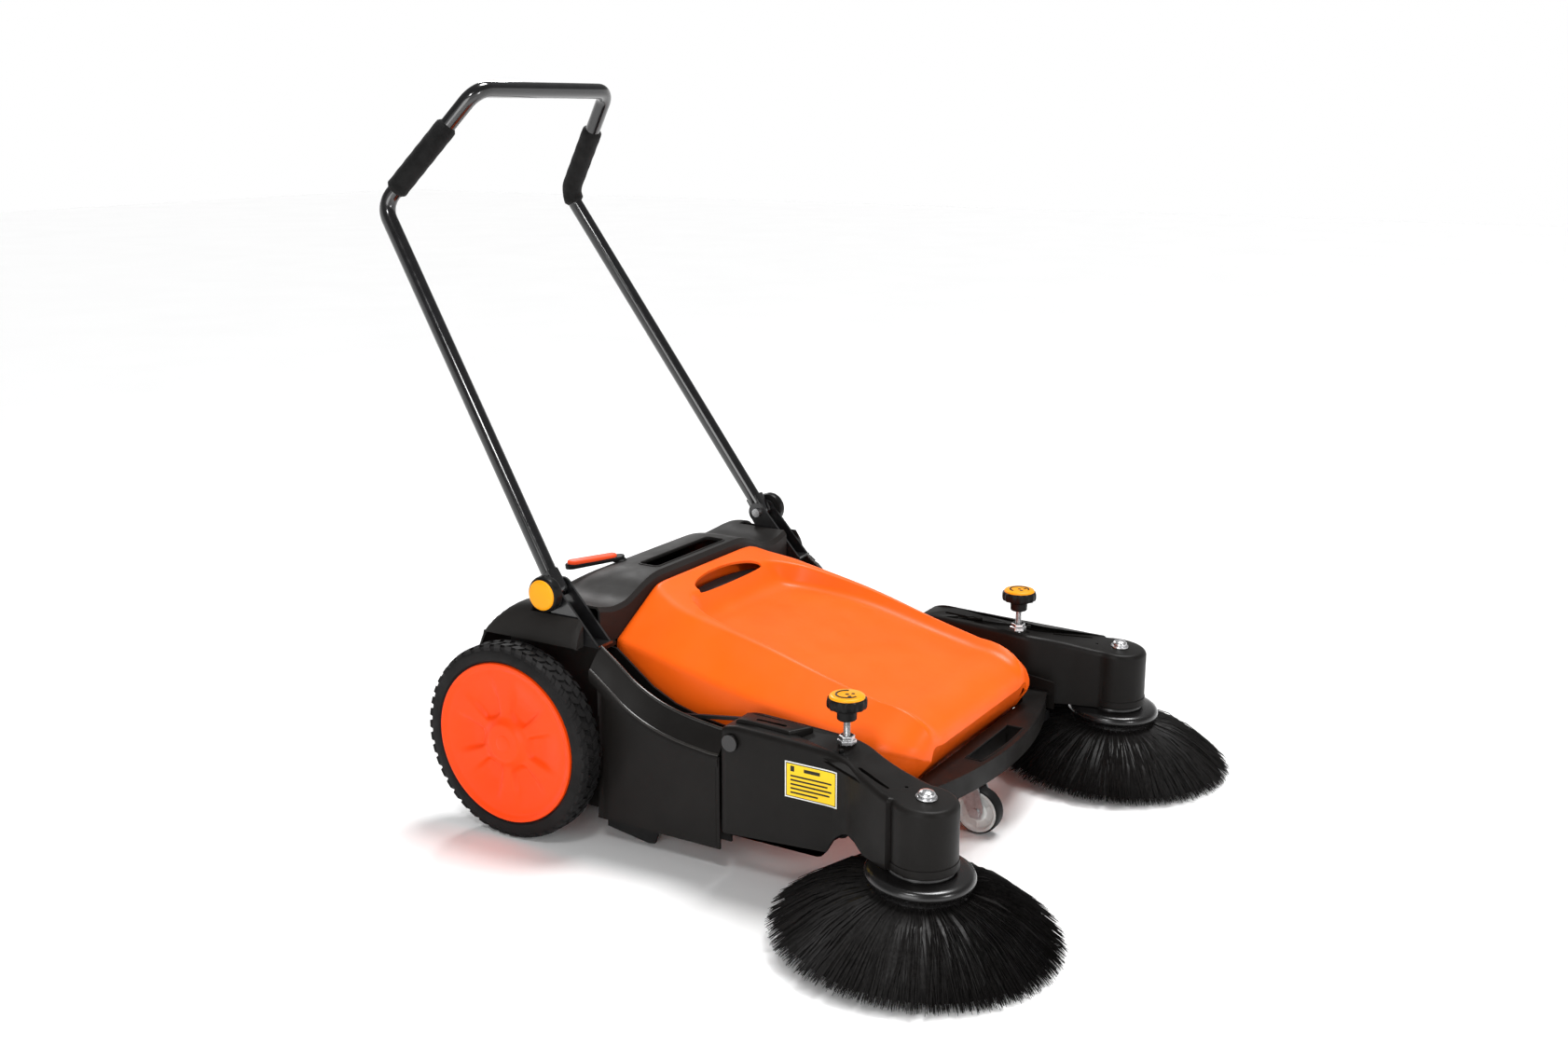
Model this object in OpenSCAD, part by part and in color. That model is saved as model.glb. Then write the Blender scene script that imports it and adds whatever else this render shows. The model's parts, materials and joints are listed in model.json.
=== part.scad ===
// Walk-behind carpet sweeper with two side brushes, a main roller brush and a lift-out hopper.
// Millimetres. +Z is up, the machine rolls forward along -Y, and +X is its left side.
// The origin is on the floor under the middle of the machine's bounding box.

/* [Wheels] */
// Radius of each drive wheel
wheel_r = 150; // [130:1:170]
// Width of each tyre
tyre_w = 46; // [36:1:56]
// Radius of the coloured wheel disc
rim_r = 125; // [105:1:128]
// Radius of each wheel shaft
shaft_r = 10; // [8:0.5:12]

/* [Chassis] */
// Half width between the outer faces of the two inner side walls
inner_x = 262; // [240:1:300]
// Width of the belt bay in each side
bay_w = 38; // [36:1:46]
// Width of the step from the belt bay out to the side panel
step_w = 30; // [20:1:40]
// Thickness of the moulded walls
wall = 3.5; // [2.5:0.5:5]
// Bottom edge of the side panels above the floor
side_bottom = 42; // [36:1:60]

/* [Front bumper] */
// How far the bumper's bow reaches in front of the axle
bumper_reach = 645; // [635:1:700]
// Radius of the bow
bow_r = 704; // [600:10:1200]
// Height of the bumper's top edge
bumper_top = 147; // [140:1:160]
// Height of the bumper band
bumper_h = 32; // [24:1:34]

/* [Side brushes] */
// Distance of each brush axis from the middle
brush_x = 358; // [350:1:380]
// Distance of the brush flanges in front of the axle
brush_reach = 674; // [660:1:720]
// Height of the flanges above the floor
flange_z = 100; // [94:1:106]
// Radius of the bristle tips
brush_r = 198.5; // [160:0.5:220]
// Radius of the flanges
flange_r = 73.7; // [66:0.1:80]
// Forward lean of the brush axes, in degrees
brush_lean = 3.5; // [2:0.1:5]

/* [Arms] */
// Distance of the arm pivots in front of the axle
arm_pivot_reach = 372; // [365:1:380]
// Height of the arm pivots
arm_pivot_z = 213; // [205:1:216]
// Width of each arm
arm_w = 72; // [68:1:84]
// Radius of the round end of each arm
arm_end_r = 46; // [44:1:52]
// Radius of the arm pivot pins
pin_r = 6; // [5:0.5:7]
// Distance of the height spindles in front of the axle
spindle_reach = 528; // [520:1:536]
// Height of the top of the spindle knobs
spindle_top = 298; // [294:1:320]

/* [Hopper] */
// Half width of the hopper at its sides
hopper_x = 250; // [220:1:255]
// How far the hopper's front reaches in front of the axle
hopper_reach = 598; // [580:1:602]
// Thickness of the hopper's wall
hopper_wall = 4; // [3:0.5:5]
// Depth of the tray in the hopper's top
tray_depth = 15; // [8:1:18]
// Half width of the tray
tray_x = 168; // [140:1:176]
// Half width of the hopper's grip slot
grip_slot_x = 86; // [60:1:100]

/* [Roller] */
// Radius of the main roller over its bristles
roller_r = 96; // [90:1:97]
// Radius of the roller's core
roller_core_r = 42; // [35:1:50]
// Half length of the bristles
roller_x = 232; // [200:1:236]
// Radius of the roller's shaft
roller_shaft_r = 6; // [5:0.5:8]

/* [Drive] */
// Groove radius of the hub pulley for the roller belt
roller_drive_r = 46; // [40:1:50]
// Groove radius of the hub pulley for the arm belt
arm_drive_r = 24; // [22:1:34]
// Groove radius of the roller's pulley
roller_pulley_r = 19; // [16:1:24]
// Groove radius of the pivot pulley, driven by the hub
pivot_in_r = 12; // [11:0.5:12.5]
// Groove radius of the pivot pulley, driving the brush
pivot_out_r = 12; // [11:0.5:12.5]
// Groove radius of the brush pulley
brush_pulley_r = 16; // [16:1:18]
// Radius of the round belts
belt_r = 2.5; // [2:0.1:3]

/* [Handle] */
// Half distance between the handle's lower ends
handle_foot_x = 290; // [284:1:300]
// Half distance between the two elbows
elbow_x = 231; // [200:1:260]
// Half width of the crossbar between its corners
crossbar_x = 164; // [140:1:200]
// Radius of the handle tube
tube_r = 12.5; // [10:0.5:14]
// Radius of the foam grips
foam_r = 17; // [15:0.5:20]
// Height of the elbows
elbow_z = 917; // [800:1:1000]
// Height of the crossbar
crossbar_z = 1091; // [950:1:1150]
// Length of each foam grip
grip_l = 140; // [110:5:150]
// Radius of the clamp knobs
clamp_r = 27; // [22:1:30]

/* [Caster] */
// Radius of the caster wheel
caster_r = 35.6; // [30:0.1:38]
// Width of the caster wheel
caster_w = 24; // [18:1:28]
// Distance of the caster's axle in front of the wheel axle
caster_reach = 597; // [585:1:600]
// How far the caster's axle trails its kingpin
caster_trail = 22; // [15:1:25]

/* [Hidden] */
$fn = 48;

// Side of the machine: the right side is at -X, the left one at +X
RIGHT = -1;
LEFT = 1;

// Clearances
run = 0.05;         // radial clearance of a shaft in its bore
belt_gap = 0.4;     // between a belt and the pulley it runs in
side_gap = 1;       // between pieces that turn side by side
eps = 0.01;

// Widths across the machine, from the middle outwards
mid_x = inner_x + bay_w;
outer_x = mid_x + step_w;
tyre_gap = 8;
wheel_x = outer_x + tyre_gap + tyre_w / 2;
rim_face_x = wheel_x + tyre_w / 2 + 2;
arm_belt_x = inner_x + 14;
roller_belt_x = inner_x + 26;
brush_belt_x = arm_belt_x + 17;
carrier_x = inner_x - 14;
arm_in_x = inner_x + 6;
arm_out_x = arm_in_x + arm_w;

// Places along the machine, measured from the axle: forward is negative
axle_z = wheel_r;
arm_pivot_y = -arm_pivot_reach;
spindle_y = -spindle_reach;
spindle_x = arm_in_x + 25;
brush_y = -brush_reach;
arm_end_y = brush_y - (tan(brush_lean) * 65);
arm_rear_y = arm_pivot_y + 21;
bay_front_y = arm_rear_y + 6;
step_y = -130;
rear_y = 104;

// Roller: it swings about the wheel axle
roller_y = -70;
roller_z = roller_r + 3;

// Handle
pivot_y = -34;
pivot_z = 369;
elbow_y = 330;
corner_y = 191;
bolt_r = 4;
bend_bulge = 0.5;

// The bounding box runs from the front bristle tips to the foam grip at the left elbow
tip_drop = 87;      // from the flange's origin down the axis to the tips
tip_y = brush_y + tip_drop * sin(brush_lean) - brush_r * cos(brush_lean);
origin_shift = (-tip_y - (elbow_y + foam_r + bend_bulge)) / 2;

// Rear cover
cover_top = 365;
cover_front_y = -90;
guard_x = outer_x - 5;
flange_top_z = 296;

// Handle's brackets
cheek_t = 4;
cheek_gap = 0.5;
bracket_in_x = handle_foot_x - tube_r - cheek_gap - cheek_t;
bracket_out_x = handle_foot_x + tube_r + cheek_gap + cheek_t;

// Lever of the roller's height
lever_x = -84;
lever_y = 4;
lever_z = 362;
lever_l = 88;
lever_turn = 147;
lever_dip = 4;
stem_r = 7;

// Hopper
hopper_rear_y = -95;
hopper_split = 188;
top_slope = 13.5;

// Caster
caster_y = -caster_reach;
kingpin_y = caster_y + caster_trail;
kingpin_r = 6;
caster_axle_r = 4;
plate_z = bumper_top - bumper_h - 16;
bumper_rear_y = -hopper_reach - 2;

// Bolts and spindles
spindle_r = 5;
brush_bolt_r = 6;
bolt_head_z = 121;
brush_pulley_z = 172;

arm_top_z = 236;
arm_end_top_z = 221;
arm_bottom_z = 75;
arm_end_bottom_z = 112;

black = [0.13, 0.12, 0.12];
dark_grey = [0.24, 0.23, 0.22];
orange = [1, 0.36, 0.05];
amber = [0.98, 0.7, 0.1];
steel = [0.75, 0.76, 0.78];
zinc = [0.85, 0.72, 0.4];
rubber = [0.08, 0.08, 0.08];

// Moves a shape from the axle's frame to the part's own frame
module placed() translate([0, origin_shift, 0]) children();

// Shapes for one side are written at -X and mirrored for the left side
module at_side(side) placed() mirror([side == LEFT ? 1 : 0, 0, 0]) children();

// A cylinder along X from x0 to x1 through (y, z)
module rod_x(x0, x1, r, y, z) translate([x0, y, z]) rotate([0, 90, 0]) cylinder(h = x1 - x0, r = r);

// A plate between x0 and x1 with its outline given as [y, z] points
module plate_x(x0, x1, outline)
    translate([x0, 0, 0]) rotate([90, 0, 90]) linear_extrude(x1 - x0) polygon(outline);

// A straight round bar between two points
module bar(a, b, r) {
    d = b - a;
    translate(a) rotate([0, acos(d[2] / norm(d)), atan2(d[1], d[0])]) cylinder(h = norm(d), r = r);
}

// A wheel or pulley about X: profile points are [radius, x]
module turned_x(y, z, profile)
    translate([0, y, z]) rotate([0, 90, 0]) rotate_extrude($fn = 64) polygon(profile);

// ---- Chassis ----

// Top edge of the sides: it sweeps down from the handle's foot to the arms
function rim_top(inset) = [
    [-120, 296 - inset], [-150, 274 - inset], [-185, 248 - inset], [-225, 229 - inset],
    [-270, 217 - inset], [-327, 209 - inset]
];

module side_wall(x0, x1, front_y, drop) plate_x(x0, x1, concat(
    [[50, side_bottom], [50, 296 - drop]],
    rim_top(drop),
    [[front_y, 208 - drop], [front_y, side_bottom]]
));

// The inner wall runs on under the hopper to the bumper, with a higher bottom edge there
module inner_wall() plate_x(-inner_x, -inner_x + wall, concat(
    [[rear_y - wall, side_bottom], [rear_y - wall, 240], [50, 296]],
    rim_top(12),
    [[-420, 186], [-608, 160], [-608, bumper_top - bumper_h], [-480, bumper_top - bumper_h],
     [-440, side_bottom + 18], [-400, side_bottom]]
));

// The sloping band between the mid wall's top edge and the outer panel's
module rim_band() {
    top = rim_top(0);
    low = rim_top(28);
    for (i = [0 : len(top) - 2]) hull() {
        translate([-mid_x, top[i][0], top[i][1] - wall]) cube([wall, eps, wall]);
        translate([-mid_x, top[i + 1][0], top[i + 1][1] - wall]) cube([wall, eps, wall]);
        translate([-outer_x, low[i][0], low[i][1] - wall]) cube([wall, eps, wall]);
        translate([-outer_x, low[i + 1][0], low[i + 1][1] - wall]) cube([wall, eps, wall]);
    }
}

module chassis_side(side) color(black) at_side(side) {
    difference() {
        union() {
            inner_wall();
            side_wall(-mid_x, -mid_x + wall, bay_front_y, 0);
            // outer panel in front of the wheel, and the step back to the mid wall
            plate_x(-outer_x, -outer_x + wall, concat(
                [[step_y, side_bottom]],
                [for (p = rim_top(28)) if (p[0] < step_y - 10) p],
                [[bay_front_y, 180], [bay_front_y, side_bottom]]
            ));
            plate_x(-outer_x + wall, -mid_x, [
                [step_y, side_bottom], [step_y, 200],
                [step_y - wall, 200], [step_y - wall, side_bottom]
            ]);
            rim_band();
            // flange that the handle's foot stands on
            plate_x(-mid_x + wall, -inner_x, [[-120, 290], [50, 290], [50, 296], [-120, 296]]);
            // bearing bosses for the wheel shaft
            rod_x(-mid_x, -mid_x + 6, shaft_r + 9, 0, axle_z);
            rod_x(-inner_x - 3, -inner_x + wall, shaft_r + 9, 0, axle_z);
        }
        rod_x(-mid_x - 1, -inner_x + wall + 1, shaft_r + run, 0, axle_z);
        rod_x(-inner_x - 1, -inner_x + wall + 1, pin_r, arm_pivot_y, arm_pivot_z - eps);
        if (side == RIGHT) roller_shaft_slot();
    }
}

// Arc slot that lets the roller's shaft swing with its carrier
module roller_shaft_slot() {
    reach = norm([roller_y, roller_z - axle_z]);
    start = atan2(roller_z - axle_z, roller_y);
    for (a = [-2, 3, 8]) rod_x(
        -inner_x - 1, -inner_x + wall + 1, roller_shaft_r + 7,
        reach * cos(start - a), axle_z + reach * sin(start - a)
    );
}

// Bowed band across the front, with a grip slot
module front_bumper() color(black) placed() difference() {
    translate([0, 0, bumper_top - bumper_h]) linear_extrude(bumper_h) intersection() {
        translate([0, -bumper_reach + bow_r]) circle(r = bow_r, $fn = 160);
        polygon([
            [-inner_x + wall, bumper_rear_y], [inner_x - wall, bumper_rear_y], [inner_x - wall, -604],
            [215, -bumper_reach], [-215, -bumper_reach], [-inner_x + wall, -604]
        ]);
    }
    // hollow underneath
    translate([0, 0, bumper_top - bumper_h - 1]) linear_extrude(bumper_h - wall + 1) difference() {
        intersection() {
            translate([0, -bumper_reach + bow_r]) circle(r = bow_r - wall, $fn = 160);
            polygon([
                [-240, bumper_rear_y - 3], [240, bumper_rear_y - 3],
                [210, -bumper_reach], [-210, -bumper_reach]
            ]);
        }
        translate([-82, -bumper_reach]) square([164, 53]);
    }
    // grip slot
    translate([0, 0, bumper_top - bumper_h - 1]) linear_extrude(bumper_h + 2) intersection() {
        translate([0, -bumper_reach + bow_r]) circle(r = bow_r - 9, $fn = 160);
        translate([-76, -bumper_reach]) square([152, 39]);
    }
}

// Rear cover seen from the side; the inset gives its inner face, which runs out at the front
module cover_side(inset) {
    front = inset > 0 ? -120 : cover_front_y;
    plate_x(-outer_x - 1, outer_x + 1, [
        [front, 60 - inset], [front, cover_top - inset], [-28, cover_top - inset],
        [20, 349 - inset], [62 - inset / 2, 316 - inset], [90 - inset, 268],
        [rear_y - inset, 200], [rear_y - inset, 60 - inset]
    ]);
}

// Rear cover seen from behind: a raised middle, shoulders and a guard over each wheel
module cover_back(inset) {
    edge = guard_x - inset;
    half = [
        [edge, 60 - inset], [edge, 308 - inset], [306, 338 - inset], [280, 344 - inset],
        [240, 334 - inset], [200, 335 - inset], [118, cover_top - inset]
    ];
    rotate([90, 0, 0]) translate([0, 0, -rear_y - 1]) linear_extrude(2 * rear_y + 20)
        polygon(concat(half, [for (i = [len(half) - 1 : -1 : 0]) [-half[i][0], half[i][1]]]));
}

module rear_cover() color(dark_grey) placed() difference() {
    intersection() {
        cover_side(0);
        cover_back(0);
    }
    intersection() {
        cover_side(wall);
        cover_back(wall);
    }
    for (s = [RIGHT, LEFT]) mirror([s == LEFT ? 1 : 0, 0, 0]) {
        // the side walls take over below the cover's edge
        translate([-outer_x - 2, -130, 0]) cube([outer_x + 2 - inner_x + wall, 300, flange_top_z]);
        // notch for the handle's foot
        translate([-bracket_out_x - 3, -130, 200])
            cube([bracket_out_x - bracket_in_x + 6, 130, 200]);
    }
    // grab slot in the raised middle and the bore for the height lever's stem
    translate([-98, -80, cover_top - 20]) cube([196, 36, 30]);
    translate([lever_x, lever_y, 250]) cylinder(h = 150, r = stem_r + run);
}

// Bars across the bottom of the frame and the plate that carries the caster's kingpin
module cross_members() color(black) placed() {
    half = inner_x - wall;
    translate([-half, -330, side_bottom]) cube([2 * half, 30, 14]);
    translate([-half, 60, side_bottom]) cube([2 * half, 22, 14]);
    difference() {
        translate([-half, -602, plate_z]) cube([2 * half, 44, 14]);
        translate([0, kingpin_y, plate_z - 1]) cylinder(h = 20, r = kingpin_r + run);
    }
}

// Foot and two cheeks that hold each lower end of the handle
module handle_brackets() color(black) for (s = [RIGHT, LEFT]) at_side(s) difference() {
    union() {
        for (x = [-bracket_out_x, -bracket_in_x - cheek_t]) {
            plate_x(x, x + cheek_t, [
                [-122, flange_top_z], [-66, flange_top_z], [pivot_y + 14, pivot_z - 9],
                [pivot_y - 12, pivot_z + 11]
            ]);
            rod_x(x, x + cheek_t, 17, pivot_y, pivot_z);
        }
        translate([-bracket_out_x, -122, flange_top_z])
            cube([bracket_out_x - bracket_in_x, 56, 4]);
    }
    rod_x(-bracket_out_x - 1, -bracket_in_x + 1, bolt_r + run, pivot_y, pivot_z);
}

// Cross bolts that the handle's lower ends turn on, and the screws that hold the bumper and the
// rear cover on the inner walls
module frame_screws() color(steel) for (s = [RIGHT, LEFT]) at_side(s) {
    rod_x(-bracket_out_x - 19, -bracket_in_x, bolt_r, pivot_y, pivot_z);
    rod_x(-bracket_in_x, -bracket_in_x + 5, 7.5, pivot_y, pivot_z);
    rod_x(-inner_x - 6, -inner_x - 3, 5, -514, 131);
    rod_x(-inner_x - 3, -inner_x, 5, 78, 150);
    rod_x(-inner_x - 3, -inner_x, 5, 78, 90);
    rod_x(-mid_x - 3, -mid_x, 5, -118, 80);
}

// Rubber skids inside the side panels, just clear of the floor
module side_skirts() color(rubber) for (s = [RIGHT, LEFT]) at_side(s)
    plate_x(-mid_x + wall, -mid_x + wall + 4, [
        [-122, 60], [-122, 14], [-196, 3], [-208, 5], [-218, 34], [-218, 60]
    ]);

module rear_flap() color(rubber) placed()
    translate([-inner_x + wall + 1, 55, 4]) cube([2 * (inner_x - wall - 1), 5, 60]);

// Pins fixed in the inner walls; the arms and the pivot pulleys turn on them
module arm_pivot_pins() color(steel) for (s = [RIGHT, LEFT]) at_side(s) {
    rod_x(-arm_out_x - 6, -inner_x + wall, pin_r, arm_pivot_y, arm_pivot_z);
    rod_x(-arm_out_x - 6, -arm_out_x - side_gap, pin_r + 6, arm_pivot_y, arm_pivot_z);
}

// Plated brackets on the inner walls; each height spindle stands in its tab
module spindle_brackets() color(zinc) for (s = [RIGHT, LEFT]) at_side(s) difference() {
    union() {
        translate([-inner_x - 3, -604, 122]) cube([3, 104, 34]);
        translate([-spindle_x - 12, spindle_y - 12, 153])
            cube([spindle_x + 12 - inner_x, 26, 3]);
        rod_x(-inner_x - 9, -inner_x - 3, 8, -590, 140);
    }
    translate([-spindle_x, spindle_y, 150]) cylinder(h = 10, r = spindle_r + run);
}

// ---- Belts and pulleys ----

// Half profile of a pulley with its grooves, as [radius, x] points from x0 to x1
function groove(r, x) = [
    [r + belt_r * 1.8, x - belt_r - 1.4], [r - belt_r - belt_gap, x - belt_r - belt_gap],
    [r - belt_r - belt_gap, x + belt_r + belt_gap], [r + belt_r * 1.8, x + belt_r + 1.4]
];

module pulley_x(y, z, bore, x0, x1, grooves) turned_x(y, z, concat(
    [[bore, x0], [grooves[0][0] + belt_r * 1.8, x0]],
    [for (g = grooves) each groove(g[0], g[1])],
    [[grooves[len(grooves) - 1][0] + belt_r * 1.8, x1], [bore, x1]]
));

// Outline around two pulleys, seen in their plane; r0 and r1 are its radii at each
function loop_points(span, r0, r1) = let (open = 90 - asin((r0 - r1) / span)) concat(
    [for (i = [0 : 36]) let (a = open + i * (360 - 2 * open) / 36) [r0 * cos(a), r0 * sin(a)]],
    [for (i = [0 : 36]) let (a = -open + i * 2 * open / 36) [span + r1 * cos(a), r1 * sin(a)]]
);

// Closed belt in the plane at x around two pulleys; r0 and r1 are its centre-line radii
module belt_x(x, y0, z0, r0, y1, z1, r1) {
    span = norm([y1 - y0, z1 - z0]);
    translate([x - belt_r, y0, z0]) rotate([90, 0, 90]) rotate(atan2(z1 - z0, y1 - y0))
        linear_extrude(2 * belt_r) difference() {
            polygon(loop_points(span, r0 + belt_r, r1 + belt_r));
            polygon(loop_points(span, r0 - belt_r, r1 - belt_r));
        }
}

module drive_belts() color(rubber) for (s = [RIGHT, LEFT]) at_side(s)
    belt_x(-arm_belt_x, 0, axle_z, arm_drive_r, arm_pivot_y, arm_pivot_z, pivot_in_r);

module hub_pulley(side) color(black) at_side(side) pulley_x(
    0, axle_z, shaft_r, -mid_x + 6 + side_gap, -inner_x - 3 - side_gap,
    [[roller_drive_r, -roller_belt_x], [arm_drive_r, -arm_belt_x]]
);

// A plain drum for the belt that leaves sideways to the brush, and a groove for the one from the hub
module pivot_pulley(side) color(dark_grey) at_side(side) {
    drum = pivot_out_r - belt_r - belt_gap;
    flange = pivot_in_r + belt_r * 1.8;
    turned_x(arm_pivot_y, arm_pivot_z, concat(
        [[pin_r + run, -brush_belt_x - 8], [drum, -brush_belt_x - 8]],
        [[drum, -arm_belt_x - 9], [flange, -arm_belt_x - 7]],
        groove(pivot_in_r, -arm_belt_x),
        [[flange, -arm_belt_x + 4], [pin_r + run, -arm_belt_x + 4]]
    ));
}

// ---- Drive wheels ----

module tyre(side) color(rubber) at_side(side) turned_x(0, axle_z, [
    [rim_r - 9, -wheel_x - tyre_w / 2 + 6], [rim_r, -wheel_x - tyre_w / 2],
    [wheel_r - 8, -wheel_x - tyre_w / 2], [wheel_r, -wheel_x - tyre_w / 2 + 9],
    [wheel_r, -wheel_x + tyre_w / 2 - 9], [wheel_r - 8, -wheel_x + tyre_w / 2],
    [rim_r, -wheel_x + tyre_w / 2], [rim_r - 9, -wheel_x + tyre_w / 2 - 6]
]);

module rim(side) color(orange) at_side(side) {
    inside = -wheel_x + tyre_w / 2;
    difference() {
        turned_x(0, axle_z, [
            [shaft_r, -rim_face_x + 4], [30, -rim_face_x], [36, -rim_face_x + 5],
            [rim_r - 14, -rim_face_x + 3], [rim_r - 9, -wheel_x - tyre_w / 2 + 6],
            [rim_r - 9, inside - 6], [rim_r - 15, inside - 6],
            [rim_r - 15, -rim_face_x + 12], [30, -rim_face_x + 14], [24, inside - 2],
            [shaft_r, inside - 2]
        ]);
        // petal recesses between the spokes
        for (a = [0 : 60 : 300]) translate([-rim_face_x - 1, 0, axle_z]) rotate([a + 30, 0, 0])
            translate([0, 0, 76]) rotate([0, 90, 0]) cylinder(h = 8, r = 22);
    }
}

module wheel_shaft(side) color(steel) at_side(side)
    rod_x(-rim_face_x + 4, -carrier_x + wall + 2, shaft_r, 0, axle_z);

// ---- Main roller ----

module roller_carrier() color(steel) placed() {
    for (s = [RIGHT, LEFT]) mirror([s == LEFT ? 1 : 0, 0, 0]) difference() {
        union() {
            plate_x(-carrier_x, -carrier_x + wall, [
                [-18, axle_z + 14], [18, axle_z + 8], [14, axle_z - 18],
                [roller_y + 14, roller_z - 14], [roller_y - 14, roller_z - 8],
                [roller_y - 16, roller_z + 12], [-64, 206], [-50, 206]
            ]);
            rod_x(-carrier_x, -carrier_x + wall, shaft_r + 9, 0, axle_z);
        }
        rod_x(-carrier_x - 1, -carrier_x + wall + 1, shaft_r + run, 0, axle_z);
        rod_x(-carrier_x - 1, -carrier_x + wall + 1, roller_shaft_r + run, roller_y, roller_z);
    }
    translate([-carrier_x + wall, -64, 200]) cube([2 * (carrier_x - wall), 14, 6]);
}

module roller_belt() color(rubber) placed() belt_x(
    -roller_belt_x, 0, axle_z, roller_drive_r, roller_y, roller_z, roller_pulley_r
);

module roller_core() color(dark_grey) placed() {
    rod_x(-roller_belt_x - 7, carrier_x + 3, roller_shaft_r, roller_y, roller_z);
    rod_x(-roller_x - 4, roller_x + 4, roller_core_r, roller_y, roller_z);
    pulley_x(
        roller_y, roller_z, roller_shaft_r - 0.5, -roller_belt_x - 6, -roller_belt_x + 6,
        [[roller_pulley_r, -roller_belt_x]]
    );
}

// Eight rows of bristles that wind a little around the core
module roller_bristles() color(rubber) placed() difference() {
    union() {
        for (a = [0 : 45 : 315]) translate([-roller_x, roller_y, roller_z]) rotate([a, 0, 0])
            translate([0, -9, roller_core_r - 4]) cube([2 * roller_x, 18, roller_r - roller_core_r + 2]);
    }
    rod_x(-roller_x - 1, roller_x + 1, roller_core_r, roller_y, roller_z);
    difference() {
        rod_x(-roller_x - 1, roller_x + 1, roller_r + 20, roller_y, roller_z);
        rod_x(-roller_x - 2, roller_x + 2, roller_r, roller_y, roller_z);
    }
}

// ---- Height lever of the roller ----

module height_lever() color(black) placed() {
    translate([lever_x, lever_y, 236]) cylinder(h = lever_z - 236, r = stem_r);
    translate([lever_x, lever_y, lever_z - 2.5]) cylinder(h = 4.5, r = 13);
    translate([lever_x, lever_y, 232]) cylinder(h = 6, r = 11);
    translate([lever_x, lever_y, lever_z + 2]) rotate([0, 0, lever_turn]) rotate([0, lever_dip, 0])
        translate([-9, -9, -2]) cube([lever_l, 18, 6]);
}

module lever_grip() color(orange) placed() translate([lever_x, lever_y, lever_z + 2])
    rotate([0, 0, lever_turn]) rotate([0, lever_dip, 0]) {
        translate([6, -11, 4]) cube([lever_l - 18, 22, 8]);
        translate([lever_l - 12, 0, 4]) cylinder(h = 8, r = 11);
    }

// ---- Hopper ----

// Seen from the side, from above and from the front; the inset gives the inner faces
module hopper_side(inset) plate_x(-hopper_x - 1, hopper_x + 1, [
    [hopper_rear_y - 2 - inset, 344 - inset], [hopper_rear_y - 15 - inset, 351 - inset],
    [-190, 326 - inset], [-566 + inset / 2, 233 - inset], [-hopper_reach + inset, 208 - inset],
    [-hopper_reach + inset, 170], [-520 + inset, 64 + inset], [-207 - inset, 64 + inset],
    [-109 - inset, 242], [hopper_rear_y - 2 - inset, 284]
]);

module hopper_plan(inset) translate([0, 0, 50]) linear_extrude(320) polygon([
    for (s = [RIGHT, LEFT], p = s == RIGHT ? hopper_outline(inset) : reversed(hopper_outline(inset)))
        [s * p[0], p[1]]
]);

function hopper_outline(inset) = [
    [hopper_x - inset, hopper_rear_y], [hopper_x - inset, -330], [hopper_x - 19 - inset, -545],
    [210 - inset, -588 + inset], [160 - inset / 2, -hopper_reach + inset]
];

// Chamfered shoulders, which run along the slope of the top
module hopper_shoulders(inset) on_slope() translate([0, 60, 0]) rotate([90, 0, 0])
    linear_extrude(620) polygon([
        for (s = [RIGHT, LEFT], p = s == RIGHT ? hopper_section(inset) : reversed(hopper_section(inset)))
            [s * p[0], p[1]]
    ]);

function hopper_section(inset) = [
    [134 - inset / 2, 20], [134 - inset / 2, 8 - inset], [186 - inset / 2, -6 - inset],
    [232 - inset, -50 - inset / 2], [hopper_x + 1 - inset, -74], [hopper_x + 1 - inset, -420]
];

function reversed(list) = [for (i = [len(list) - 1 : -1 : 0]) list[i]];

module on_slope() translate([0, -128, 345]) rotate([top_slope, 0, 0]) children();

module hopper_form(inset) intersection() {
    hopper_side(inset);
    hopper_plan(inset);
    hopper_shoulders(inset);
}

// Slab that lies along the hopper's sloping top, measured down from its tray's floor
module tray_slab(x, below, above, rear) on_slope()
    translate([-x, -520, -tray_depth - below]) cube([2 * x, 520 - rear, above + below]);

// Everything between two heights
module hopper_level(low, high)
    translate([-300, -hopper_reach - 40, low]) cube([600, hopper_reach, high - low]);

module hopper_top() color(orange) placed() intersection() {
    hopper_level(hopper_split, 400);
    difference() {
        hopper_form(0);
        // tray, open over the front
        tray_slab(tray_x, 0, 40, 14);
        // the inside, under the tray's floor and behind the grip's wall
        difference() {
            hopper_form(hopper_wall);
            tray_slab(tray_x + hopper_wall, hopper_wall, 60, -60);
            translate([-300, -158, 230]) cube([600, hopper_wall, 200]);
        }
        // grip slot through the rear of the top
        translate([-grip_slot_x, -150, 250]) cube([2 * grip_slot_x, 22, 120]);
        // open underside of the rear overhang
        translate([-190, -154 + hopper_wall, 200]) cube([380, 30, 100]);
    }
}

module hopper_bin() color(orange) placed() intersection() {
    hopper_level(50, hopper_split);
    difference() {
        hopper_form(0);
        hopper_form(hopper_wall);
        // mouth towards the roller
        translate([-205, -225, 86]) cube([410, 120, hopper_split]);
    }
}

module hopper_seal() color(rubber) placed() {
    translate([-205, -192, 72]) cube([410, 3, 6]);
}

// ---- Handle ----

function handle_points(side) = [
    [side * handle_foot_x, pivot_y, pivot_z],
    [side * elbow_x, elbow_y, elbow_z],
    [side * crossbar_x, corner_y, crossbar_z]
];

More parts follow.
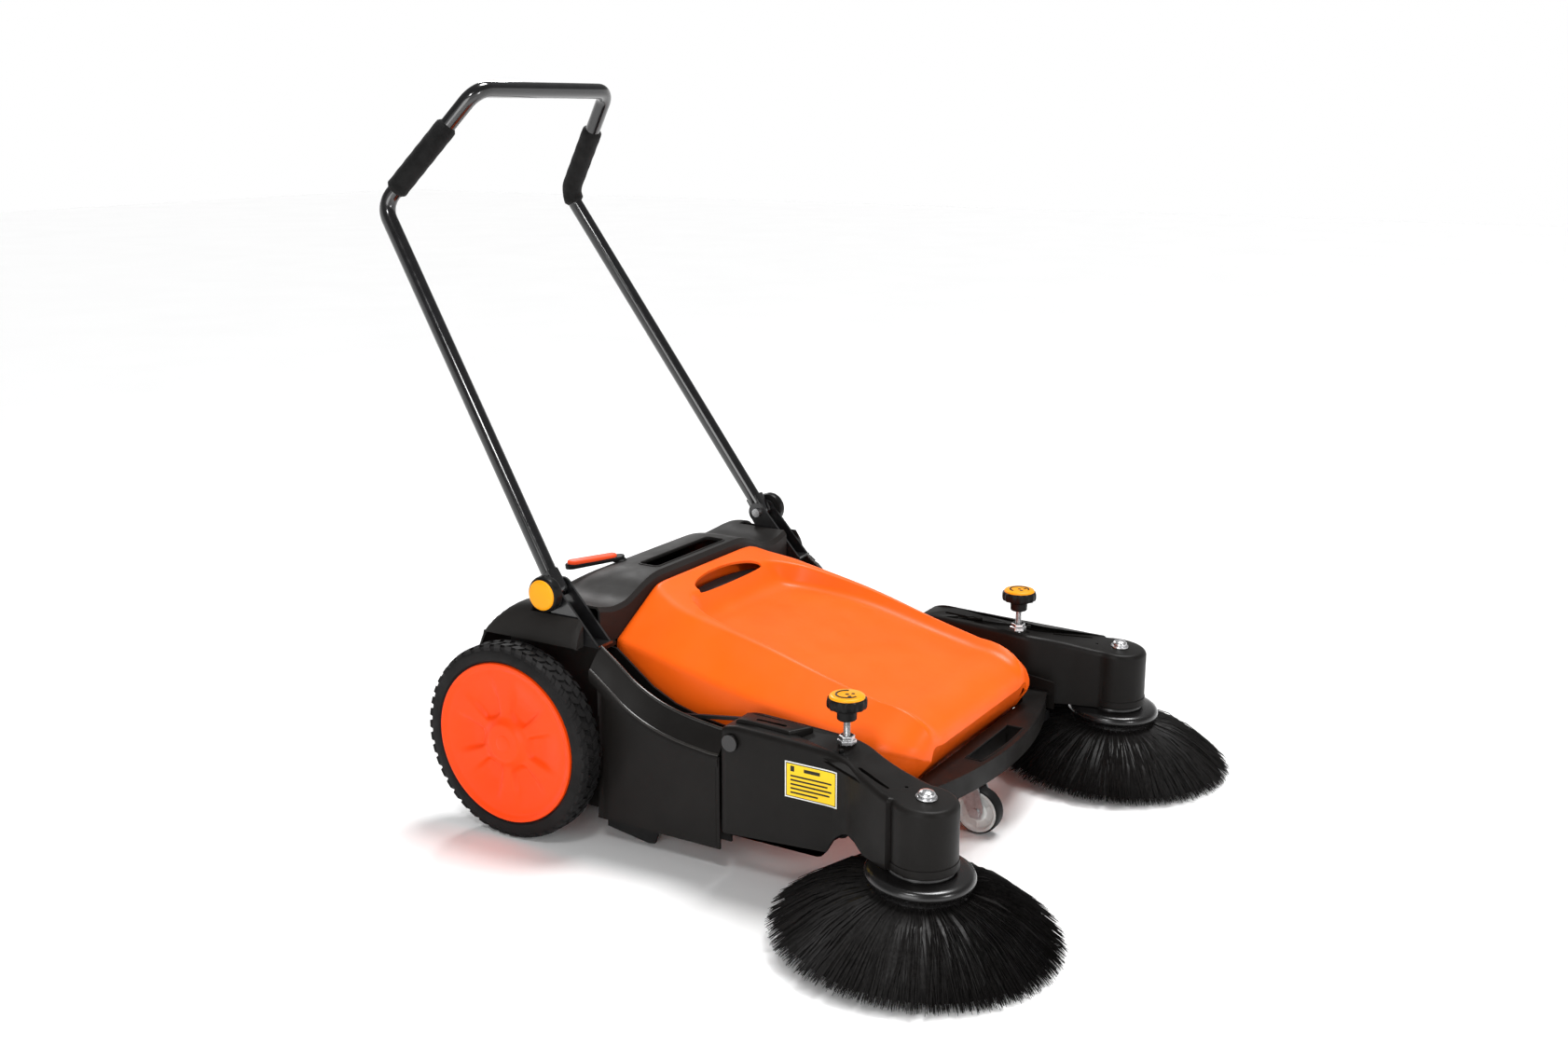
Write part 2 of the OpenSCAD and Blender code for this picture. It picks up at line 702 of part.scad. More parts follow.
// One leg of the handle; a ball a little fuller than the tube rounds each bend
module handle_leg(side, r) {
    p = handle_points(side);
    bar(p[0], p[1], r);
    translate(p[1]) sphere(r = r + bend_bulge);
    bar(p[1], p[2], r);
    translate(p[2]) sphere(r = r + bend_bulge);
}

module handle_tube() color(black) placed() difference() {
    union() {
        for (s = [RIGHT, LEFT]) {
            handle_leg(s, tube_r);
            rod_x(s * handle_foot_x - tube_r, s * handle_foot_x + tube_r, tube_r, pivot_y, pivot_z);
        }
        rod_x(-crossbar_x, crossbar_x, tube_r, corner_y, crossbar_z);
    }
    for (s = [RIGHT, LEFT]) {
        rod_x(s * handle_foot_x - 20, s * handle_foot_x + 20, bolt_r + run, pivot_y, pivot_z);
        // flat faces between the bracket's cheeks
        for (f = [-1, 1]) translate([
            s * handle_foot_x + (f > 0 ? tube_r : -tube_r - 30), pivot_y - 30, pivot_z - 30
        ]) cube([30, 80, 90]);
    }
}

// Foam sleeve between two stations along the upper leg; a negative one runs past the elbow
module grip(side, from, to) color(rubber) placed() {
    p = handle_points(side);
    upper = (p[2] - p[1]) / norm(p[2] - p[1]);
    lower = (p[1] - p[0]) / norm(p[1] - p[0]);
    difference() {
        union() {
            bar(p[1] + upper * max(from, 0), p[1] + upper * to, foam_r);
            if (from < 0) {
                bar(p[1] + lower * from, p[1], foam_r);
                translate(p[1]) sphere(r = foam_r + bend_bulge);
            }
        }
        handle_leg(side, tube_r);
    }
}

module clamp_knob(side) color(black) at_side(side) difference() {
    union() {
        rod_x(-bracket_out_x - 16, -bracket_out_x - side_gap, clamp_r, pivot_y, pivot_z);
        rod_x(-bracket_out_x - 19, -bracket_out_x - 16, clamp_r - 2, pivot_y, pivot_z);
    }
    rod_x(-bracket_out_x - 20, -bracket_out_x, bolt_r + run, pivot_y, pivot_z);
}

module clamp_cap(side) color(amber) at_side(side)
    rod_x(-bracket_out_x - 23, -bracket_out_x - 19.3, clamp_r - 4, pivot_y, pivot_z);

// ---- Arms ----

// Arm seen from above; the inset gives its inner face
module arm_plan(inset) {
    far = brush_x + arm_end_r;
    polygon([
        [-arm_in_x - inset, arm_rear_y - inset], [-arm_in_x - inset, -545],
        [-arm_in_x - 30 - inset, -606], [-brush_x + arm_end_r - inset, arm_end_y + 12],
        [-brush_x, arm_end_y], [-far + inset, arm_end_y + 8], [-far + 10 + inset, -630],
        [-arm_out_x - 33 + inset, -565], [-arm_out_x + inset, -520],
        [-arm_out_x + inset, arm_rear_y - inset]
    ]);
    translate([-brush_x, arm_end_y]) circle(r = arm_end_r - inset);
}

// Arm seen from the side: deep behind, with a step up over the brush
module arm_side(inset) plate_x(-brush_x - 60, -inner_x, [
    [arm_rear_y - inset, arm_bottom_z - (inset > 0 ? 10 : 0)],
    [arm_rear_y - inset, arm_pivot_z + 18 - inset], [arm_rear_y - 8, arm_top_z - 3 - inset],
    [arm_pivot_y - 14, arm_top_z - inset], [-545, arm_top_z - 7 - inset],
    [-600, arm_end_top_z + 5 - inset], [arm_end_y - 60, arm_end_top_z - 3 - inset],
    [arm_end_y - 60, arm_end_bottom_z - (inset > 0 ? 10 : 0)],
    [-600, arm_end_bottom_z - (inset > 0 ? 10 : 0)], [-572, 124 - (inset > 0 ? 10 : 0)],
    [-548, 112 - (inset > 0 ? 10 : 0)], [-518 + inset, arm_bottom_z - (inset > 0 ? 10 : 0)]
]);

module arm_housing(side) color(black) at_side(side) difference() {
    union() {
        difference() {
            intersection() {
                linear_extrude(300) arm_plan(0);
                arm_side(0);
            }
            intersection() {
                linear_extrude(300) arm_plan(wall);
                arm_side(wall);
            }
            // the inner side opens where the spindle's bracket and the belts come in
            translate([-arm_in_x - wall - 1, -615, 60]) cube([wall + 2, 130, 108]);
        }
        // bosses around the pivot pin and the brush's bolt, and the spindle's collar
        rod_x(-arm_out_x, -arm_out_x + 9, pin_r + 7, arm_pivot_y, arm_pivot_z);
        translate([-brush_x, brush_bolt_y(arm_end_top_z), arm_end_top_z - 14])
            cylinder(h = 10, r = 16);
        translate([-spindle_x, spindle_y, arm_top_z - 12]) cylinder(h = 12, r = spindle_r + 9);
    }
    rod_x(-arm_out_x - 1, -arm_in_x + 1, pin_r + run, arm_pivot_y, arm_pivot_z);
    brush_frame() translate([0, 0, 90]) cylinder(h = 60, r = brush_bolt_r + run);
    brush_frame() translate([0, 0, bolt_head_z - run]) cylinder(h = 20, r = 13);
    // way in for the belt from the hub
    translate([-arm_belt_x - belt_r - 2.5, arm_rear_y - wall - 1, 188])
        cube([2 * belt_r + 4.5, wall + 2, 41]);
    // clearance for the spindle while the arm swings
    translate([-spindle_x, spindle_y, 200]) cylinder(h = 60, r = spindle_r + 4);
}

// Where the leaning brush axis stands at height z
function brush_bolt_y(z) = brush_y - (z - flange_z) * tan(brush_lean);

// The brush's own frame: origin at the flange, +Z up its leaning axis
module brush_frame() translate([-brush_x, brush_y, flange_z]) rotate([brush_lean, 0, 0]) children();

// Bolt that the side brush turns on, with its head above the arm
module brush_bolt(side) color(steel) at_side(side) brush_frame() {
    translate([0, 0, 22]) cylinder(h = bolt_head_z - 22, r = brush_bolt_r);
    translate([0, 0, bolt_head_z]) cylinder(h = 5, r = 12);
    translate([0, 0, 18]) cylinder(h = 4.5, r = 10);
}

// Quarter-turn belt: it leaves the pivot pulley upright and lies flat around the brush pulley
module arm_belt(side) color(rubber) at_side(side) {
    y = brush_bolt_y(brush_pulley_z);
    // seen from above, the way from the brush to the pivot pulley and the two tangent points
    toward = atan2(arm_pivot_y - y, brush_x - brush_belt_x);
    open = acos(brush_pulley_r / norm([brush_x - brush_belt_x, arm_pivot_y - y]));
    out = brush_rim_point(toward + open, y);
    in = brush_rim_point(toward - open, y);
    top = [-brush_belt_x, arm_pivot_y, arm_pivot_z + pivot_out_r];
    low = [-brush_belt_x, arm_pivot_y, arm_pivot_z - pivot_out_r];
    bar(top, out, belt_r, $fn = 24);
    bar(low, in, belt_r, $fn = 24);
    for (p = [top, low, out, in]) translate(p) sphere(r = belt_r * 1.1, $fn = 24);
    translate([-brush_belt_x, arm_pivot_y, arm_pivot_z]) rotate([90, 0, 90]) rotate(-90)
        rotate_extrude(angle = 180, $fn = 64) translate([pivot_out_r, 0]) circle(r = belt_r, $fn = 24);
    translate([-brush_x, y, brush_pulley_z]) rotate([brush_lean, 0, 0]) rotate(toward + open)
        rotate_extrude(angle = 360 - 2 * open, $fn = 64)
            translate([brush_pulley_r, 0]) circle(r = belt_r, $fn = 24);
}

function brush_rim_point(angle, y) = [
    -brush_x + brush_pulley_r * cos(angle), y + brush_pulley_r * sin(angle) * cos(brush_lean),
    brush_pulley_z + brush_pulley_r * sin(angle) * sin(brush_lean)
];

module label(side) color([0.95, 0.75, 0.1]) at_side(side)
    translate([-arm_out_x - 0.4, -519, 153]) cube([0.4, 60, 52]);

// ---- Height spindles ----

module height_knob(side) color(black) at_side(side) translate([-spindle_x, spindle_y, 0])
    difference() {
        union() {
            translate([0, 0, spindle_top - 36]) cylinder(h = 18, r = 14);
            translate([0, 0, spindle_top - 20]) cylinder(h = 16, r = 28);
        }
        translate([0, 0, spindle_top - 37]) cylinder(h = 34, r = spindle_r);
    }

module height_cap(side) color(amber) at_side(side)
    translate([-spindle_x, spindle_y, spindle_top - 4]) cylinder(h = 4, r = 25);

module height_spindle(side) color(steel) at_side(side) translate([-spindle_x, spindle_y, 0]) {
    translate([0, 0, 148]) cylinder(h = spindle_top - 4 - 148, r = spindle_r);
    translate([0, 0, 145]) cylinder(h = 7, r = spindle_r + 3);
    translate([0, 0, 157]) cylinder(h = 5, r = spindle_r + 3);
}

// ---- Side brushes ----

module brush_hub(side) color(black) at_side(side) brush_frame() rotate_extrude($fn = 72) polygon([
    [0, -22], [62, -22], [70, -12], [flange_r, -9], [flange_r, -2], [flange_r - 4, 1],
    [58, 3], [54, 8], [40, 10], [16, 10], [16, 16], [11, 16], [11, 17.5], [0, 17.5]
]);

module brush_bristles(side) color(rubber) at_side(side) brush_frame() rotate_extrude($fn = 72)
    polygon([
        [40, -22.5], [62.5, -22.5], [70, -13], [brush_r * 0.58, -26], [brush_r * 0.8, -52],
        [brush_r, -tip_drop + 5], [brush_r - 4, -tip_drop], [brush_r - 16, -tip_drop]
    ]);

// Pulley on the hub's boss, inside the arm's round end
module brush_pulley(side) color(dark_grey) at_side(side) brush_frame() {
    z = (brush_pulley_z - flange_z) / cos(brush_lean);
    difference() {
        union() {
            rotate_extrude($fn = 64) polygon([
                [0, 17.5], [13, 17.5], [13, z - 9], [brush_pulley_r + 4, z - 9],
                [brush_pulley_r + 4, z - 7.5], [brush_pulley_r - belt_r - belt_gap, z - 6],
                [brush_pulley_r - belt_r - belt_gap, z + 6], [brush_pulley_r + 4, z + 7.5],
                [brush_pulley_r + 4, z + 9], [13, z + 9], [13, 98], [0, 98]
            ]);
        }
        translate([0, 0, 21.5]) cylinder(h = 90, r = brush_bolt_r + run);
        translate([0, 0, 17]) cylinder(h = 6, r = 10 + run);
    }
}

// ---- Caster ----

module caster_fork() color(steel) placed() {
    difference() {
        union() {
            for (s = [-1, 1]) plate_x(s > 0 ? caster_w / 2 + 1.5 : -caster_w / 2 - 4, (s > 0 ? 4 : -1.5)
                + s * caster_w / 2, [
                [caster_y - 10, caster_r - 9], [caster_y + 8, caster_r - 9],
                [kingpin_y + 17, plate_z - 8], [kingpin_y + 17, plate_z - 3],
                [kingpin_y - 20, plate_z - 3], [caster_y - 13, caster_r + 10]
            ]);
            translate([-caster_w / 2 - 4, kingpin_y - 20, plate_z - 5])
                cube([caster_w + 8, 37, 2.5]);
            translate([0, kingpin_y, plate_z - 3]) cylinder(h = 2.5, r = 15);
        }
        rod_x(-caster_w, caster_w, caster_axle_r, caster_y, caster_r);
    }
    translate([0, kingpin_y, plate_z - 3]) cylinder(h = 17, r = kingpin_r);
}

module caster_wheel() color([0.85, 0.85, 0.84]) placed() difference() {
    turned_x(caster_y, caster_r, [
        [9, -caster_w / 2], [14, -caster_w / 2], [18, -caster_w / 2 + 4],
        [caster_r - 9, -caster_w / 2 + 4], [caster_r - 6, -caster_w / 2],
        [caster_r - 2, -caster_w / 2], [caster_r, -caster_w / 2 + 3],
        [caster_r, caster_w / 2 - 3], [caster_r - 2, caster_w / 2],
        [caster_r - 6, caster_w / 2], [caster_r - 9, caster_w / 2 - 4],
        [18, caster_w / 2 - 4], [14, caster_w / 2], [9, caster_w / 2],
        [caster_axle_r + run, caster_w / 2], [caster_axle_r + run, -caster_w / 2]
    ]);
}

module caster_axle() color(steel) placed() {
    rod_x(-caster_w / 2 - 5, caster_w / 2 + 5, caster_axle_r, caster_y, caster_r);
    for (s = [-1, 1])
        rod_x(s * (caster_w / 2 + 5.5) - 1.5, s * (caster_w / 2 + 5.5) + 1.5, 7, caster_y, caster_r);
}

chassis_side(RIGHT);  // chassis_side_right
chassis_side(LEFT);  // chassis_side_left
front_bumper();
rear_cover();
cross_members();
handle_brackets();
frame_screws();
side_skirts();
rear_flap();
arm_pivot_pins();
spindle_brackets();
drive_belts();
tyre(RIGHT);  // tyre_right
rim(RIGHT);  // rim_right
wheel_shaft(RIGHT);  // wheel_shaft_right
hub_pulley(RIGHT);  // hub_pulley_right
tyre(LEFT);  // tyre_left
rim(LEFT);  // rim_left
wheel_shaft(LEFT);  // wheel_shaft_left
hub_pulley(LEFT);  // hub_pulley_left
roller_carrier();
roller_belt();
roller_core();
roller_bristles();
height_lever();
lever_grip();
hopper_top();
hopper_bin();
hopper_seal();
handle_tube();
grip(RIGHT, 28, 28 + grip_l);  // grip_right
grip(LEFT, 120 - grip_l, 150);  // grip_left
clamp_knob(RIGHT);  // clamp_knob_right
clamp_cap(RIGHT);  // clamp_cap_right
clamp_knob(LEFT);  // clamp_knob_left
clamp_cap(LEFT);  // clamp_cap_left
arm_housing(RIGHT);  // arm_housing_right
brush_bolt(RIGHT);  // brush_bolt_right
arm_belt(RIGHT);  // arm_belt_right
label(RIGHT);  // label_right
arm_housing(LEFT);  // arm_housing_left
brush_bolt(LEFT);  // brush_bolt_left
arm_belt(LEFT);  // arm_belt_left
height_knob(RIGHT);  // height_knob_right
height_cap(RIGHT);  // height_cap_right
height_spindle(RIGHT);  // height_spindle_right
height_knob(LEFT);  // height_knob_left
height_cap(LEFT);  // height_cap_left
height_spindle(LEFT);  // height_spindle_left
pivot_pulley(RIGHT);  // pivot_pulley_right
pivot_pulley(LEFT);  // pivot_pulley_left
brush_hub(RIGHT);  // brush_hub_right
brush_bristles(RIGHT);  // brush_bristles_right
brush_pulley(RIGHT);  // brush_pulley_right
brush_hub(LEFT);  // brush_hub_left
brush_bristles(LEFT);  // brush_bristles_left
brush_pulley(LEFT);  // brush_pulley_left
caster_fork();
caster_wheel();
caster_axle();
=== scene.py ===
"""Looks of the walk-behind sweeper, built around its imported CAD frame.

Lengths below are millimetres from the drive wheels' axle: +X is the machine's left side, -Y is forward,
+Z is up and z = 0 is the floor. at() turns them into Blender's metres in the frame's own axes.
Shapes for one side are written at -X, the right side, and mirrored for the left.
"""

import json
import random
from math import atan2, ceil, cos, exp, pi, radians, sin, sqrt, tan

import bmesh
import bpy
from mathutils import Matrix, Vector


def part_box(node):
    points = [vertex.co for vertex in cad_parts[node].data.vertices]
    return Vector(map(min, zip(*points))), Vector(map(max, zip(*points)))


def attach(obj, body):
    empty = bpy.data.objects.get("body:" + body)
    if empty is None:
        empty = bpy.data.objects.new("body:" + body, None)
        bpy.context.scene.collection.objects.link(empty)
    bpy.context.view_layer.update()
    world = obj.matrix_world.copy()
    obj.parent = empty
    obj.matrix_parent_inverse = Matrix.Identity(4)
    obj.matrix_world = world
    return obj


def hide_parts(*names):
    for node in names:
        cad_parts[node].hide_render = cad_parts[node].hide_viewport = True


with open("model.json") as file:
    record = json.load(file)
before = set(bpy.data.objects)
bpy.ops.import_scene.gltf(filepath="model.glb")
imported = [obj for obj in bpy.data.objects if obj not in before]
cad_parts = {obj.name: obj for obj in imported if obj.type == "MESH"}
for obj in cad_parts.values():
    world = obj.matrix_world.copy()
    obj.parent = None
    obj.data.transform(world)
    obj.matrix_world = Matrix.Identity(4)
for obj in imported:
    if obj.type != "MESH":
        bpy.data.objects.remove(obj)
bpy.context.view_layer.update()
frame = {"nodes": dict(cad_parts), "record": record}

RIGHT, LEFT = -1, 1
SIDES = ((RIGHT, "right"), (LEFT, "left"))


def middle(node):
    low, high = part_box(node)
    return (Vector(low) + Vector(high)) / 2


AXLE_Y = middle("wheel_shaft_right").y
AXLE_Z = middle("wheel_shaft_right").z * 1000

# Places that several pieces share; where each side has one, it is the right side's
AXLE = (0, 0, AXLE_Z)
CLAMP = (0, -34, 369)
SPINDLE = (-293, -528, 0)
ARM_PIVOT = (0, -372, 213)
ARM_END = (-358, -678)
LEVER_POST = (-84, 4, 0)


def at(x, y, z):
    return Vector((x / 1000, AXLE_Y + y / 1000, z / 1000))


def mix(a, b, t):
    return a + (b - a) * t


def smooth(t):
    t = min(max(t, 0.0), 1.0)
    return t * t * (3 - 2 * t)


def along(points, t):
    """Smooth interpolation through (t, value) pairs."""
    if t <= points[0][0]:
        return points[0][1]
    for i in range(len(points) - 1):
        (t0, v0), (t1, v1) = points[i], points[i + 1]
        if t <= t1:
            before = points[max(i - 1, 0)]
            after = points[min(i + 2, len(points) - 1)]
            m0 = (v1 - before[1]) / max(t1 - before[0], 1e-6)
            m1 = (after[1] - v0) / max(after[0] - t0, 1e-6)
            span = t1 - t0
            u = (t - t0) / span
            return (
                (2 * u**3 - 3 * u**2 + 1) * v0 + (u**3 - 2 * u**2 + u) * m0 * span
                + (3 * u**2 - 2 * u**3) * v1 + (u**3 - u**2) * m1 * span
            )
    return points[-1][1]


# ---- materials

class Nodes:
    """A material's node tree with short ways to add and link nodes."""

    def __init__(self, name, color, roughness, metallic=0.0):
        self.mat = bpy.data.materials.new(name)
        self.mat.use_nodes = True
        self.tree = self.mat.node_tree
        self.shader = self.tree.nodes["Principled BSDF"]
        self.set("Base Color", (*color, 1))
        self.set("Roughness", roughness)
        self.set("Metallic", metallic)
        self.coords = self.add("ShaderNodeTexCoord").outputs["Object"]

    def set(self, socket, value):
        self.shader.inputs[socket].default_value = value

    def add(self, kind, **inputs):
        node = self.tree.nodes.new(kind)
        for key, value in inputs.items():
            node.inputs[key.replace("_", " ")].default_value = value
        return node

    def link(self, output, target):
        self.tree.links.new(output, target)

    def noise(self, scale, detail=3, rough=0.5, stretch=None):
        node = self.add("ShaderNodeTexNoise", Scale=scale, Detail=detail, Roughness=rough)
        source = self.coords
        if stretch:
            mapping = self.add("ShaderNodeMapping", Scale=stretch)
            self.link(source, mapping.inputs["Vector"])
            source = mapping.outputs["Vector"]
        self.link(source, node.inputs["Vector"])
        return node.outputs["Fac"]

    def voronoi(self, scale):
        node = self.add("ShaderNodeTexVoronoi", Scale=scale)
        self.link(self.coords, node.inputs["Vector"])
        return node.outputs["Distance"]

    def ramp(self, source, stops):
        node = self.add("ShaderNodeValToRGB")
        ramp = node.color_ramp
        while len(ramp.elements) < len(stops):
            ramp.elements.new(0.5)
        for element, (position, color) in zip(ramp.elements, stops):
            element.position = position
            element.color = (*color, 1) if len(color) == 3 else color
        self.link(source, node.inputs["Fac"])
        return node.outputs["Color"]

    def span(self, source, low, high, from_low=0.3, from_high=0.7):
        node = self.add("ShaderNodeMapRange")
        node.inputs["From Min"].default_value = from_low
        node.inputs["From Max"].default_value = from_high
        node.inputs["To Min"].default_value = low
        node.inputs["To Max"].default_value = high
        self.link(source, node.inputs["Value"])
        return node.outputs["Result"]

    def bump(self, *layers):
        """Bump layers as (height source, strength, distance in metres)."""
        normal = None
        for source, strength, distance in layers:
            node = self.add("ShaderNodeBump", Strength=strength, Distance=distance)
            self.link(source, node.inputs["Height"])
            if normal:
                self.link(normal, node.inputs["Normal"])
            normal = node.outputs["Normal"]
        self.link(normal, self.shader.inputs["Normal"])

    def color_by(self, source, dark, light, low=0.3, high=0.7):
        self.link(self.ramp(source, [(low, dark), (high, light)]), self.shader.inputs["Base Color"])

    def rough_by(self, source, low, high):
        self.link(self.span(source, low, high), self.shader.inputs["Roughness"])


def shade(color, k):
    return tuple(min(c * k, 1.0) for c in color)


BLACK_SPECULAR = 0.13


def moulded(name, color, roughness, grain=900, vary=0.14, coat=0.0, grain_depth=0.00012):
    """Injection-moulded plastic: fine grain, cloudy colour and uneven gloss."""
    n = Nodes(name, color, roughness)
    cloud = n.noise(7, 4, 0.6)
    n.color_by(cloud, shade(color, 1 - vary), shade(color, 1 + vary))
    n.rough_by(n.noise(22, 4), roughness - 0.07, roughness + 0.09)
    n.bump((n.noise(grain, 2), 0.35, grain_depth), (n.noise(45, 3), 0.12, 0.0006))
    n.set("Coat Weight", coat)
    n.set("Coat Roughness", 0.25)
    n.set("Specular IOR Level", 0.2 if max(color) > 0.1 else BLACK_SPECULAR)
    return n.mat


def painted(name, color, roughness=0.16):
    """Gloss paint on tube: orange peel under a clear coat."""
    n = Nodes(name, color, roughness)
    n.color_by(n.noise(30, 3), shade(color, 0.8), shade(color, 1.5))
    n.rough_by(n.noise(60, 3), roughness - 0.04, roughness + 0.08)
    n.bump((n.noise(320, 2), 0.18, 0.00012))
    n.set("Coat Weight", 0.8)
    n.set("Coat Roughness", 0.08)
    return n.mat


def metal(name, color, roughness, stretch=(4, 60, 60), tint=None):
    """Turned or plated metal: fine lines, stains and slight colour drift."""
    n = Nodes(name, color, roughness, 1.0)
    lines = n.noise(40, 3, 0.6, stretch)
    n.color_by(n.noise(120, 3), shade(color, 0.82), tint or shade(color, 1.12))
    n.rough_by(lines, roughness - 0.08, roughness + 0.14)
    n.bump((lines, 0.2, 0.0001))
    return n.mat


def rubbery(name, color, roughness, grain=420, depth=0.0003):
    """Rubber: matt, dusty in patches, with a fine pitted skin."""
    n = Nodes(name, color, roughness)
    n.color_by(n.noise(16, 5, 0.65), shade(color, 0.75), shade(color, 1.5))
    n.rough_by(n.noise(50, 3), roughness - 0.08, roughness + 0.08)
    n.bump((n.noise(grain, 3), 0.4, depth))
    n.set("Specular IOR Level", BLACK_SPECULAR)
    return n.mat


def foam(name, color):
    """Closed-cell foam sleeve: soft cells and no gloss."""
    n = Nodes(name, color, 0.88)
    n.color_by(n.noise(60, 4), shade(color, 0.7), shade(color, 1.6))
    n.bump((n.voronoi(700), 0.5, 0.0004), (n.noise(90, 3), 0.3, 0.0008))
    n.set("Sheen Weight", 0.08)
    n.set("Specular IOR Level", BLACK_SPECULAR)
    return n.mat


def bristly(name, color):
    """Stiff synthetic filament: dark, a little glossy, varied from strand to strand."""
    n = Nodes(name, color, 0.38)
    n.color_by(n.noise(260, 3, 0.6), shade(color, 0.5), shade(color, 2.4))
    n.rough_by(n.noise(90, 2), 0.32, 0.55)
    n.set("Specular IOR Level", BLACK_SPECULAR)
    n.bump((n.noise(1500, 2), 0.2, 0.00008))
    return n.mat


MATS = {
    "hopper_orange": moulded("hopper_plastic", (1.0, 0.125, 0.005), 0.4, 700, 0.05, 0.04, 0.00008),
    "rim_orange": moulded("rim_plastic", (0.95, 0.062, 0.001), 0.38, 800, 0.05, 0.0, 0.00006),
    "lever_orange": moulded("lever_plastic", (0.93, 0.07, 0.01), 0.45),
    "moulded_black": moulded("black_plastic", (0.0075, 0.0066, 0.006), 0.42, 900, 0.2, 0.0),
    "cover_grey": moulded("cover_plastic", (0.018, 0.0165, 0.0155), 0.5, 1100, 0.14),
    "knob_black": moulded("knob_plastic", (0.006, 0.006, 0.006), 0.38, 800),
    "cap_amber": moulded("amber_plastic", (1.0, 0.36, 0.006), 0.36, 900, 0.06, 0.0),
    "pulley_grey": moulded("pulley_plastic", (0.06, 0.06, 0.06), 0.5),
    "caster_grey": moulded("caster_nylon", (0.78, 0.78, 0.76), 0.4, 600, 0.05),
    "tube_black": painted("gloss_black_paint", (0.003, 0.003, 0.0035)),
    "bracket_black": painted("satin_black_paint", (0.006, 0.006, 0.0065), 0.32),
    "steel": metal("turned_steel", (0.66, 0.66, 0.67), 0.26),
    "zinc_yellow": metal("yellow_zinc", (0.8, 0.55, 0.26), 0.3, (30, 30, 30), (0.88, 0.72, 0.5)),
    "tyre": rubbery("tyre_rubber", (0.0085, 0.008, 0.008), 0.6),
    "belt_rubber": rubbery("belt_rubber", (0.015, 0.015, 0.016), 0.6),
    "skid_rubber": rubbery("skid_rubber", (0.014, 0.014, 0.014), 0.7),
    "foam": foam("grip_foam", (0.007, 0.007, 0.007)),
    "bristle": bristly("bristle_filament", (0.0055, 0.005, 0.0048)),
    "label_film": moulded("label_film", (1.0, 0.62, 0.02), 0.35, 300, 0.05),
}
MATS["hub_gloss"] = moulded("hub_plastic", (0.006, 0.0055, 0.0055), 0.2, 500, 0.2, 0.9, 0.00005)
# lighter, glossier black for rolled edges: the lower roughness and clear coat are real gloss, the lighter
# colour is a painted highlight along the edges
MATS["edge_gloss"] = moulded("painted_highlight_edge_plastic", (0.02, 0.018, 0.016), 0.24, 500, 0.25, 0.4, 0.00005)
WHITE_FILM = moulded("label_border", (0.82, 0.82, 0.78), 0.4, 300, 0.04)
DARK_INK = moulded("label_ink", (0.03, 0.028, 0.02), 0.5, 300, 0.1)

# ---- mesh helpers


def in_scene(name, data):
    """A new object of the scene that holds a mesh, a light or a camera."""
    obj = bpy.data.objects.new(name, data)
    bpy.context.scene.collection.objects.link(obj)
    return obj


def piece(name, verts, faces, body, slot, side=None, replaces=(), shade_angle=35, material=None):
    """A mesh from millimetre points that rides on a body. side=LEFT mirrors it to the left side."""
    flip = side == LEFT
    mesh = bpy.data.meshes.new(name)
    points = [at(-v[0] if flip else v[0], v[1], v[2]) for v in verts]
    mesh.from_pydata(points, [], [tuple(reversed(f)) for f in faces] if flip else faces)
    mesh.validate()
    obj = in_scene(name, mesh)
    mesh.materials.append(material or MATS[slot])
    smooth_by_angle(obj, shade_angle)
    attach(obj, body)
    if replaces:
        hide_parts(*replaces)
    return obj


def solid(name, shape, *where, **more):
    """A closed piece, its faces turned outwards."""
    return fix_normals(piece(name, *shape, *where, **more))


def smooth_by_angle(obj, angle):
    bm = bmesh.new()
    bm.from_mesh(obj.data)
    bmesh.ops.remove_doubles(bm, verts=bm.verts, dist=1e-6)
    limit = radians(angle)
    for face in bm.faces:
        face.smooth = True
    for edge in bm.edges:
        edge.smooth = len(edge.link_faces) == 2 and edge.calc_face_angle(0) < limit
    bm.to_mesh(obj.data)
    bm.free()


def bevel(obj, width, segments=2, angle=32):
    mod = obj.modifiers.new("bevel", "BEVEL")
    mod.width = width / 1000
    mod.segments = segments
    mod.limit_method = "ANGLE"
    mod.angle_limit = radians(angle)
    mod.harden_normals = True
    return obj


def solidify(obj, thickness, offset=-1):
    mod = obj.modifiers.new("wall", "SOLIDIFY")
    mod.thickness = thickness / 1000
    mod.offset = offset
    mod.use_even_offset = True
    return obj


def settle(obj):
    """Turns the modifiers into plain mesh."""
    with bpy.context.temp_override(object=obj, active_object=obj, selected_objects=[obj]):
        for mod in list(obj.modifiers):
            bpy.ops.object.modifier_apply(modifier=mod.name)
    return obj


def cut(obj, shape, mode="DIFFERENCE"):
    """Cuts obj with a closed shape, or adds the shape when mode is UNION."""
    verts, faces = shape
    mesh = bpy.data.meshes.new("cutter")
    mesh.from_pydata([at(*v) for v in verts], [], faces)
    tool = fix_normals(in_scene("cutter", mesh))
    mod = obj.modifiers.new("cut", "BOOLEAN")
    mod.operation = mode
    mod.solver = "EXACT"
    mod.object = tool
    settle(obj)
    bpy.data.objects.remove(tool)
    return obj


def grid(rows, close_u=False, close_v=False):
    """Faces of a grid of points given as rows of equal length."""
    n, m = len(rows), len(rows[0])
    verts = [v for row in rows for v in row]
    faces = []
    for i in range(n if close_u else n - 1):
        for j in range(m if close_v else m - 1):
            a, b = i, (i + 1) % n
            c, d = j, (j + 1) % m
            faces.append((a * m + c, b * m + c, b * m + d, a * m + d))
    return verts, faces


def join(*parts):
    """Several (verts, faces) as one."""
    verts, faces = [], []
    for v, f in parts:
        base = len(verts)
        verts += v
        faces += [tuple(i + base for i in face) for face in f]
    return verts, faces


